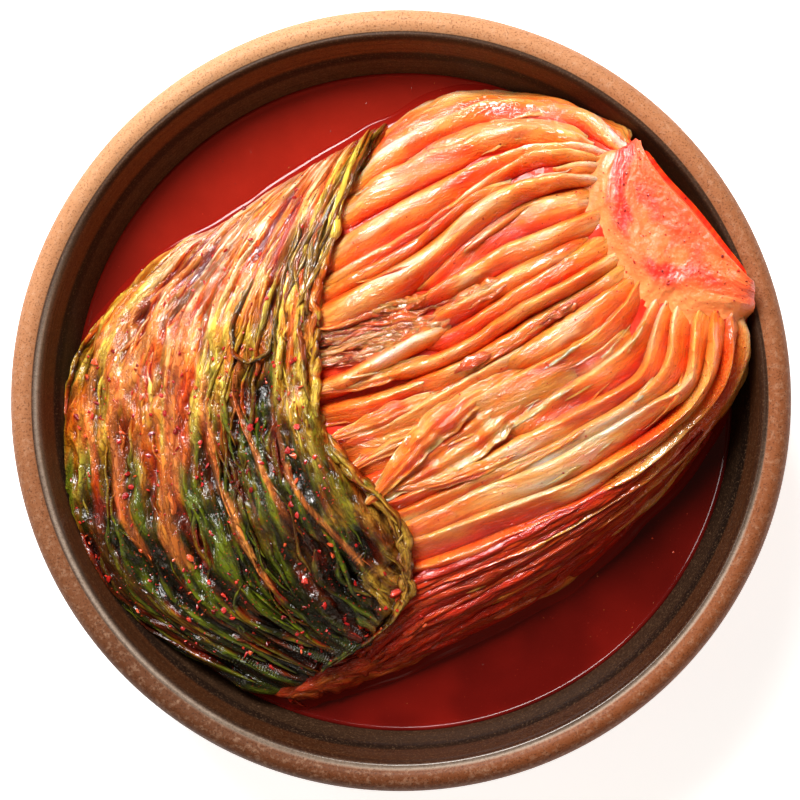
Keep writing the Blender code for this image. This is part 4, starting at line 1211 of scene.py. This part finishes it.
def paint_strand(s, t, crest, along, across, seed):
    streak = noise(across / 0.6, along / 14, 0.0, seed)
    value = 0.44 + 0.30 * crest + 0.18 * streak + 0.2 * math.sin(seed * 1.3)
    return ramp(LEAF_STOPS, value)


def paint_petal(s, t, crest, along, across, seed):
    streak = noise(across / 0.8, along / 18, 0.0, seed)
    value = 0.52 + 0.30 * np.abs(crest - 0.6) + 0.10 * streak + 0.22 * noise(across / 5, along / 9, 0.0, seed + 1)
    return ramp(LEAF_STOPS, value)


def paint_bundle(s, t, crest, along, across, seed):
    streak = noise(across / 0.6, along / 26, 0.0, seed)
    value = 0.12 + 0.14 * crest + 0.12 * streak + 0.07 * math.sin(seed * 1.7)
    return mix(ramp(LEAF_STOPS, value), srgb(150, 28, 10), np.full(s.shape, 0.35))


def paint_tail(s, t, crest, along, across, seed):
    streak = noise(across / 0.8, along / 14, 0.0, seed)
    value = 0.12 + 0.26 * crest + 0.18 * streak
    return mix(ramp(LEAF_STOPS, value), srgb(126, 52, 26), np.full(s.shape, 0.5))


# Folded leaf ends by the wrap's edge: width and height in mm, rows of (s, t)
PETALS = (
    (9.0, 2.2, (-1.0, 1.0, 2.6, 3.4), 0.4, ((0.557, 0.465), (0.60, 0.468), (0.647, 0.473), (0.69, 0.485), (0.735, 0.50))),
    (20.0, 1.4, (-2.4, -0.6, 1.0, 2.2, 2.6), 1.0, ((0.44, 0.535), (0.53, 0.552), (0.59, 0.568), (0.64, 0.585), (0.69, 0.605), (0.725, 0.625))),
    (13.0, 3.4, (-1.2, 1.4, 3.4, 4.2, 4.0), 0.5, ((0.46, 0.498), (0.555, 0.502), (0.609, 0.526), (0.656, 0.559), (0.693, 0.595), (0.728, 0.627))),
    (6.0, 1.8, (-1.0, 1.6, 3.0, 3.0), 0.2, ((0.54, 0.640), (0.626, 0.633), (0.669, 0.629), (0.70, 0.619))),
    (7.0, 1.8, (-1.0, 2.0, 3.0), 0.4, ((0.60, 0.515), (0.66, 0.530), (0.70, 0.545), (0.735, 0.565))),
    (8.0, 1.6, (-1.0, 2.0, 3.0), 0.4, ((0.58, 0.383), (0.66, 0.392), (0.72, 0.400), (0.74, 0.405))),
)
# Olive and brown curls where the wrap comes over the north side: width, rows of (s, t)
CURLS = (
    (2.6, ((0.724, 0.00), (0.738, 0.05), (0.760, 0.10), (0.772, 0.16), (0.760, 0.22), (0.752, 0.26))),
    (2.2, ((0.742, 0.00), (0.764, 0.06), (0.774, 0.12), (0.786, 0.18), (0.764, 0.24))),
    (1.8, ((0.730, 0.03), (0.752, 0.09), (0.751, 0.14), (0.764, 0.20), (0.754, 0.27))),
    (2.4, ((0.752, 0.03), (0.770, 0.09), (0.792, 0.15), (0.786, 0.22), (0.775, 0.30))),
    (1.8, ((0.800, 0.06), (0.804, 0.12), (0.796, 0.20), (0.792, 0.28), (0.784, 0.36))),
    (1.5, ((0.835, 0.19), (0.842, 0.26), (0.834, 0.31), (0.815, 0.335), (0.796, 0.315), (0.792, 0.28))),
    (2.0, ((0.770, 0.20), (0.764, 0.26), (0.756, 0.31), (0.752, 0.36), (0.748, 0.42))),
    (2.0, ((0.745, 0.12), (0.748, 0.17), (0.758, 0.22), (0.770, 0.25))),
    (1.6, ((0.760, 0.05), (0.756, 0.09), (0.768, 0.14), (0.776, 0.19), (0.786, 0.23))),
    (1.6, ((0.735, 0.06), (0.746, 0.10), (0.762, 0.13), (0.758, 0.18), (0.768, 0.24))),
)


def paint_curl(s, t, crest, along, across, seed):
    streak = noise(across / 0.5, along / 10, 0.0, seed)
    light = crest * 0.8 + 0.5 * streak
    tint = mix(srgb(50, 30, 5), srgb(128, 92, 20), step(0.0, 0.6, light))
    tint = mix(tint, srgb(198, 160, 70), step(0.65, 1.1, light))
    return mix(tint, srgb(158, 58, 16), step(-0.1, 0.5, noise(across / 1.5, along / 7, 0.0, seed + 1)) * 0.7)


def make_torn_leaves():
    """Frayed ends in the heart, thin strands on the south side and leaf tails by the wrap."""
    below = trees(("head_body", "leaf_ribs_north", "leaf_ribs_south"))
    heart = Soup()
    for k in range(64):
        s0, t0 = RNG.uniform(0.55, 0.70), RNG.uniform(0.272, 0.345)
        t0 += 0.10 * (s0 - 0.6)
        bend = RNG.uniform(-0.02, 0.02)
        reach = RNG.uniform(0.05, 0.11)
        path = [(s0 + reach * u, t0 + bend * u * u + 0.004 * math.sin(6 * u + k)) for u in np.linspace(0, 1, 6)]
        lift = draped(below, path) * 0.6 + RNG.uniform(-0.6, 0.8)
        ribbon(heart, path, RNG.uniform(1.6, 4.2), lift, RNG.uniform(0.6, 1.3), paint_heart, 900 + k, rows=40, columns=9, frill=1.5, thick=0.5, taper=0.35)
    for k in range(10):
        s0, t0 = RNG.uniform(0.30, 0.56), RNG.choice([0.295, 0.33, 0.435, 0.44, 0.31])
        reach = RNG.uniform(0.05, 0.11)
        path = [(s0 + reach * u, t0 + RNG.uniform(-0.004, 0.004)) for u in np.linspace(0, 1, 5)]
        ribbon(heart, path, RNG.uniform(1.8, 3.6), draped(below, path) - 0.2, RNG.uniform(0.5, 1.0), paint_heart, 960 + k, rows=36, columns=7, frill=1.0, thick=0.6)
    for k in range(20):
        s0, t0 = RNG.uniform(0.24, 0.62), RNG.uniform(0.36, 0.82) if k % 3 else RNG.uniform(0.01, 0.24)
        reach = RNG.uniform(0.07, 0.24)
        lean = RNG.uniform(-0.05, 0.05)
        path = [(min(s0 + reach * u, 0.75), t0 + lean * reach * u * (1 + u) + fan_drift(s0 + reach * u, t0) - fan_drift(s0, t0)) for u in np.linspace(0, 1, 8)]
        ribbon(heart, path, RNG.uniform(1.0, 2.6), draped(below, path) - 0.35, RNG.uniform(0.35, 0.8), paint_strand, 1200 + k, rows=70, columns=7, frill=0.3, thick=0.7, taper=0.4)
    for k, (width, height, lift, pleats, path) in enumerate(PETALS):
        ribbon(heart, path, width, lift, height, paint_petal, 1400 + k, rows=90, columns=25, frill=0.5, thick=2.0, taper=0.6, pleats=pleats, wave=0.15)
    heart.build("heart_leaves", LEAF, ("cabbage",))

    curls = Soup()
    for k, (width, path) in enumerate(CURLS):
        lift = 6.2 if k == 5 else (0.4 if path[0][1] < 0.02 else 3.6, 3.4, 4.6, 5.2, 5.2)
        ribbon(curls, path, width, lift, 1.3, paint_curl, 1500 + k, rows=80, columns=9, frill=1.4, taper=0.2)
    curls.build("outer_leaf_curls", WRAP_LEAF, ("leaf_wrap",))

    bundle = Soup()
    for k in range(22):
        s0 = RNG.uniform(0.40, 0.60)
        t0 = (k + RNG.uniform(0.1, 0.9)) / 22
        path = []
        for u in np.linspace(0, 1, 8):
            s = s0 + (0.86 - s0) * u
            low = np.interp(s, (0.4, 0.5, 0.6, 0.75, 0.86), (0.90, 0.84, 0.80, 0.80, 0.93))
            high = np.interp(s, (0.4, 0.5, 0.7, 0.86), (1.0, 1.01, 1.01, 1.0))
            path.append((s, low + (high - low) * t0 + 0.005 * math.sin(5 * u + k)))
        ribbon(bundle, path, RNG.uniform(3.0, 6.5), RNG.uniform(0.2, 1.6), RNG.uniform(0.9, 1.9), paint_bundle, 1000 + k, rows=70, columns=9, frill=0.6)
    for k in range(12):
        s0, t0 = RNG.uniform(0.78, 0.88), 0.955 + 0.008 * k
        path = [(s0 + (0.15 + 0.003 * k) * u, t0 + 0.02 * u * math.sin(k) + 0.01 * u) for u in np.linspace(0, 1, 6)]
        ribbon(bundle, path, RNG.uniform(6.0, 12.0), RNG.uniform(-0.5, 1.0), RNG.uniform(0.8, 1.6), paint_tail, 1100 + k, rows=50, columns=13, frill=1.2, thick=0.6)
    bundle.build("leaf_strands", BUNDLE_LEAF, ("cabbage",))


def fan_drift(s, t):
    """How the ribs at a place drift across the head as they run along it."""
    return float(np.interp(s, (0.2, 0.4, 0.6, 0.75), (0, 0.01, 0.05, 0.08)) * (0.5 - t) * 1.6)


# ------------------------------------------------------------------ the brine
BRINE_MM = BRINE_Z / MM


def outline_at(bvhs, height, count=360):
    """Radius from the head's centre of the head's outline at a height, by rays from outside."""
    radii = np.zeros(count)
    for k in range(count):
        angle = 2 * math.pi * k / count
        ray = Vector((math.cos(angle), math.sin(angle), 0))
        centre = Vector((HEAD_CENTRE_MM[0] * MM, HEAD_CENTRE_MM[1] * MM, height))
        for tree in bvhs:
            start = centre + ray * 0.2
            hit = tree.ray_cast(start, -ray, 0.2)
            if hit[0] is not None:
                radii[k] = max(radii[k], (hit[0] - centre).length / MM)
    return radii


def make_brine(bvhs):
    rings, spokes = 90, 360
    share = np.linspace(0.004, 1, rings)[:, None]
    angle = np.linspace(0, 2 * math.pi, spokes, endpoint=False)[None, :]
    wall = 120.75
    r = wall * share**0.85
    x, y = r * np.cos(angle), r * np.sin(angle)
    from_wall = wall - r
    z = BRINE_MM - 0.05 + 0.9 * np.exp(-from_wall / 0.9) + 0.06 * noise(x / 14, y / 14, 0.0, 171)
    top = np.stack([x, y, z], axis=-1)
    lower = []
    for height in (40, 29, 20, 14.0, 12.3):
        radius = np.interp(height, [p[1] for p in WALL_MM[::-1]], [p[0] for p in WALL_MM[::-1]]) + 0.1
        ring = np.stack([radius * np.cos(angle[0]), radius * np.sin(angle[0]), np.full(spokes, height)], axis=-1)
        lower.append(ring)
    points = np.concatenate([top, np.stack(lower)])
    total = len(points)
    faces = grid_faces(total, spokes, wrap=True)
    faces.append(list(range(spokes))[::-1])
    faces.append(list(range((total - 1) * spokes, total * spokes)))
    cloud = fbm(points[..., 0] / 26, points[..., 1] / 26, 0.0, 172)
    tint = mix(srgb(108, 15, 9), srgb(86, 9, 6), step(-0.4, 0.4, cloud))
    # Brighter red towards the north-west and darker towards the east: painted light and painted shade
    north_west = 0.95 * points[..., 1] - 0.3 * points[..., 0]
    tint = mix(tint, srgb(150, 32, 19), step(20, 115, north_west) * 0.7)
    tint = mix(tint, srgb(70, 6, 4), step(40, 110, points[..., 0]) * 0.6)
    soup = Soup()
    uvs = points[..., :2]
    soup.add(points, faces, tint, uvs, np.zeros(points.shape[:2]))
    outline = np.maximum.reduce([outline_at(bvhs, BRINE_Z + h * MM) for h in (0.3, 3, 6, 9, 12)])
    kernel = np.hanning(9)
    kernel /= kernel.sum()
    padded = np.concatenate([outline[-8:], outline, outline[:8]])
    smooth = np.convolve(padded, kernel, "same")[8:-8]
    angle = np.linspace(0, 2 * math.pi, 360, endpoint=False)
    rows = []
    for out, high in ((-5.0, 2.0), (-0.6, 1.9), (0.5, 1.25), (1.5, 0.6), (2.6, 0.2), (3.9, -0.08), (4.1, -0.8), (-5.0, -0.8)):
        reach = smooth + out
        ring = np.stack([HEAD_CENTRE_MM[0] + reach * np.cos(angle), HEAD_CENTRE_MM[1] + reach * np.sin(angle), np.full(360, BRINE_MM + high)], axis=-1)
        rows.append(inside_bowl(ring, 0.2))
    rows.append(rows[0])
    rim = np.stack(rows[:-1], axis=1)
    ring_count = rim.shape[1]
    quads = grid_faces(360, ring_count, wrap=True)
    last = 359 * ring_count
    for c in range(ring_count):
        d = (c + 1) % ring_count
        quads.append([last + c, last + d, d, c])
    soup.add(rim, quads, srgb(128, 20, 12), rim[..., :2], np.zeros(rim.shape[:2]))
    return soup.build("red_brine_pool", brine_material(), ("brine",))


# ------------------------------------------------------------------ chilli flakes and drops
def flake(soup, place, normal, size, tint, flat=0.35):
    """A chip or seed: a squashed uneven ball of 14 points lying on the surface."""
    normal = np.array(normal)
    if normal[2] < 0:
        normal = -normal
    spin = RNG.uniform(0, 2 * math.pi)
    side = np.cross(normal, (math.cos(spin), math.sin(spin), 0.1))
    side /= np.linalg.norm(side)
    other = np.cross(normal, side)
    stretch = RNG.uniform(0.35, 0.95)
    place = place + normal * 0.25 * size
    points = []
    for level, radius in ((-0.7, 0.7), (0.55, 0.85)):
        for k in range(6):
            angle = 2 * math.pi * k / 6
            reach = size * radius * RNG.uniform(0.45, 1.3)
            points.append(place + side * reach * math.cos(angle) + other * reach * stretch * math.sin(angle) + normal * size * flat * level)
    points.append(place - normal * size * flat)
    points.append(place + normal * size * flat * 1.2)
    faces = []
    for k in range(6):
        j = (k + 1) % 6
        faces += [[12, j, k], [k, j, 6 + j, 6 + k], [6 + k, 6 + j, 13]]
    soup.add(np.array(points), faces, tint, np.zeros((14, 2)))


FLAKE_REDS = ((186, 26, 18), (160, 16, 10), (206, 48, 30), (130, 12, 8), (214, 84, 40), (178, 22, 22))


RIB_FLAKE_REDS = ((214, 44, 18), (196, 34, 16), (226, 74, 30), (170, 20, 10))


def scatter(soup, bvhs, count, where, low, high, flat=0.35, colours=FLAKE_REDS):
    placed = 0
    for _ in range(count * 4):
        if placed >= count:
            break
        x, y = where()
        hit = drop_rays(bvhs, x, y)
        if hit is None:
            continue
        size = low + (high - low) * RNG.uniform(0, 1) ** 2.6
        tint = srgb(*colours[RNG.integers(len(colours))])
        flake(soup, np.array(hit[0]) / MM, hit[1], size, tint, flat)
        placed += 1


def on_area(s_low, s_high, t_low, t_high):
    def pick():
        s = RNG.uniform(s_low, s_high)
        t = RNG.uniform(t_low, t_high)
        place, _ = on_head(np.array([s]), np.array([t]))
        return place[0, 0], place[0, 1]

    return pick


def make_flakes(bvhs, pool):
    soup = Soup()
    scatter(soup, bvhs, 520, on_area(0.75, 1.0, 0.3, 0.95), 0.32, 1.8)
    scatter(soup, bvhs, 160, on_area(0.76, 1.0, 0.0, 0.4), 0.3, 1.5)
    scatter(soup, bvhs, 420, on_area(0.2, 0.74, 0.0, 1.0), 0.16, 0.7, 0.25, RIB_FLAKE_REDS)
    scatter(soup, bvhs, 120, on_area(0.0, 0.2, 0.05, 0.95), 0.3, 0.8)

    def round_head():
        angle, reach = RNG.uniform(0, 2 * math.pi), RNG.uniform(60, 119)
        return reach * math.cos(angle), reach * math.sin(angle)

    scatter(soup, pool, 260, round_head, 0.2, 0.55, 0.2, ((206, 60, 26), (150, 26, 12), (190, 96, 40), (120, 14, 8)))
    material = plain_wet_material("chilli_flake", 0.22, 0.35, 900.0, 0.5, 0.1)
    return soup.build("chilli_flakes", material, ("cabbage",), smooth=False)


# ------------------------------------------------------------------ build all
DEEP_LEAF = leaf_material("deep_leaf", 0.75, 1.0, 0.15, 0.45, 0.6, 0.2)
LEAF = leaf_material("kimchi_leaf", 0.75, 1.0, 0.95, 0.3, 0.5, 0.6, 330.0, 0.14, 0.12)
WRAP_LEAF = leaf_material("outer_leaf", 0.85, 2.2, 0.62, 0.4, 0.6, 0.06, 480.0, 0.6, 0.05)
BUNDLE_LEAF = leaf_material("soaked_leaf", 0.75, 1.0, 0.35, 0.4, 0.6, 0.4, 330.0, 0.3, 0.06)

make_bowl()
make_body()
make_core_face()
make_ribs()
make_wrap()
make_wrap_ribbons()
make_edge_frill()
make_torn_leaves()
HEAD_PIECES = ("head_body", "leaf_ribs_north", "leaf_ribs_south", "outer_leaf_sheet", "outer_leaf_folds", "leaf_strands")
HEAD_TREES = trees(HEAD_PIECES)
make_brine(HEAD_TREES)
make_flakes(HEAD_TREES + trees(("core_cut_face", "heart_leaves")), trees(("red_brine_pool",)) + HEAD_TREES)


# ------------------------------------------------------------------ floor, lights and camera
def make_floor():
    mesh = bpy.data.meshes.new("studio_floor")
    reach = 3.0
    mesh.from_pydata([(-reach, -reach, 0), (reach, -reach, 0), (reach, reach, 0), (-reach, reach, 0)], [], [(0, 1, 2, 3)])
    floor = bpy.data.objects.new("studio_floor", mesh)
    bpy.context.scene.collection.objects.link(floor)
    material, tree, shader = nodes_of("studio_floor")
    shader.inputs["Base Color"].default_value = (0.8, 0.8, 0.8, 1)
    shader.inputs["Roughness"].default_value = 0.9
    shader.inputs["Emission Color"].default_value = (1, 1, 1, 1)
    shader.inputs["Emission Strength"].default_value = 0.75
    mesh.materials.append(material)


def area_light(name, azimuth, elevation, distance, size, watts, colour=(1, 1, 1)):
    """A square area light aimed at the bowl's middle."""
    data = bpy.data.lights.new(name, "AREA")
    data.energy = watts
    data.size = size
    data.color = colour
    light = bpy.data.objects.new(name, data)
    a, e = math.radians(azimuth), math.radians(elevation)
    offset = Vector((math.cos(a) * math.cos(e), math.sin(a) * math.cos(e), math.sin(e))) * distance
    light.location = Vector((0, 0, RIM_Z)) + offset
    light.rotation_euler = (-offset).to_track_quat("-Z", "Y").to_euler()
    bpy.context.scene.collection.objects.link(light)
    return light


def make_studio():
    make_floor()
    area_light("key_light", 112, 50, 1.3, 0.6, 39, (1.0, 0.985, 0.965))
    area_light("left_fill", 185, 30, 1.4, 0.9, 3.0, (1.0, 0.88, 0.74))
    area_light("right_fill", 345, 28, 1.4, 0.9, 2.6, (1.0, 0.88, 0.74))
    area_light("front_fill", 265, 30, 1.4, 0.9, 1.8, (1.0, 0.86, 0.70))
    area_light("glint_west", 158, 60, 1.3, 0.16, 1.2)
    world = bpy.data.worlds.new("studio_world")
    world.use_nodes = True
    world.node_tree.nodes["Background"].inputs["Color"].default_value = (1.0, 0.78, 0.56, 1)
    world.node_tree.nodes["Background"].inputs["Strength"].default_value = 0.125
    bpy.context.scene.world = world
    bpy.context.scene.view_settings.view_transform = "Standard"


def make_camera():
    data = bpy.data.cameras.new("photo_camera")
    data.lens = 111.4
    data.shift_x = 0.0089
    data.shift_y = -0.0019
    data.sensor_width = 36
    camera = bpy.data.objects.new("photo_camera", data)
    tilt = math.radians(4)
    aim = Vector((-0.0011, 0, RIM_Z))
    away = Vector((math.sin(tilt) * 0.912, -math.sin(tilt) * 0.411, math.cos(tilt)))
    camera.location = aim + away.normalized() * 0.880
    back = away.normalized()
    right = Vector((0, 1, 0)).cross(back).normalized()
    up = back.cross(right)
    camera.rotation_euler = Matrix((right, up, back)).transposed().to_euler()
    bpy.context.scene.collection.objects.link(camera)
    bpy.context.scene.camera = camera


make_studio()
make_camera()
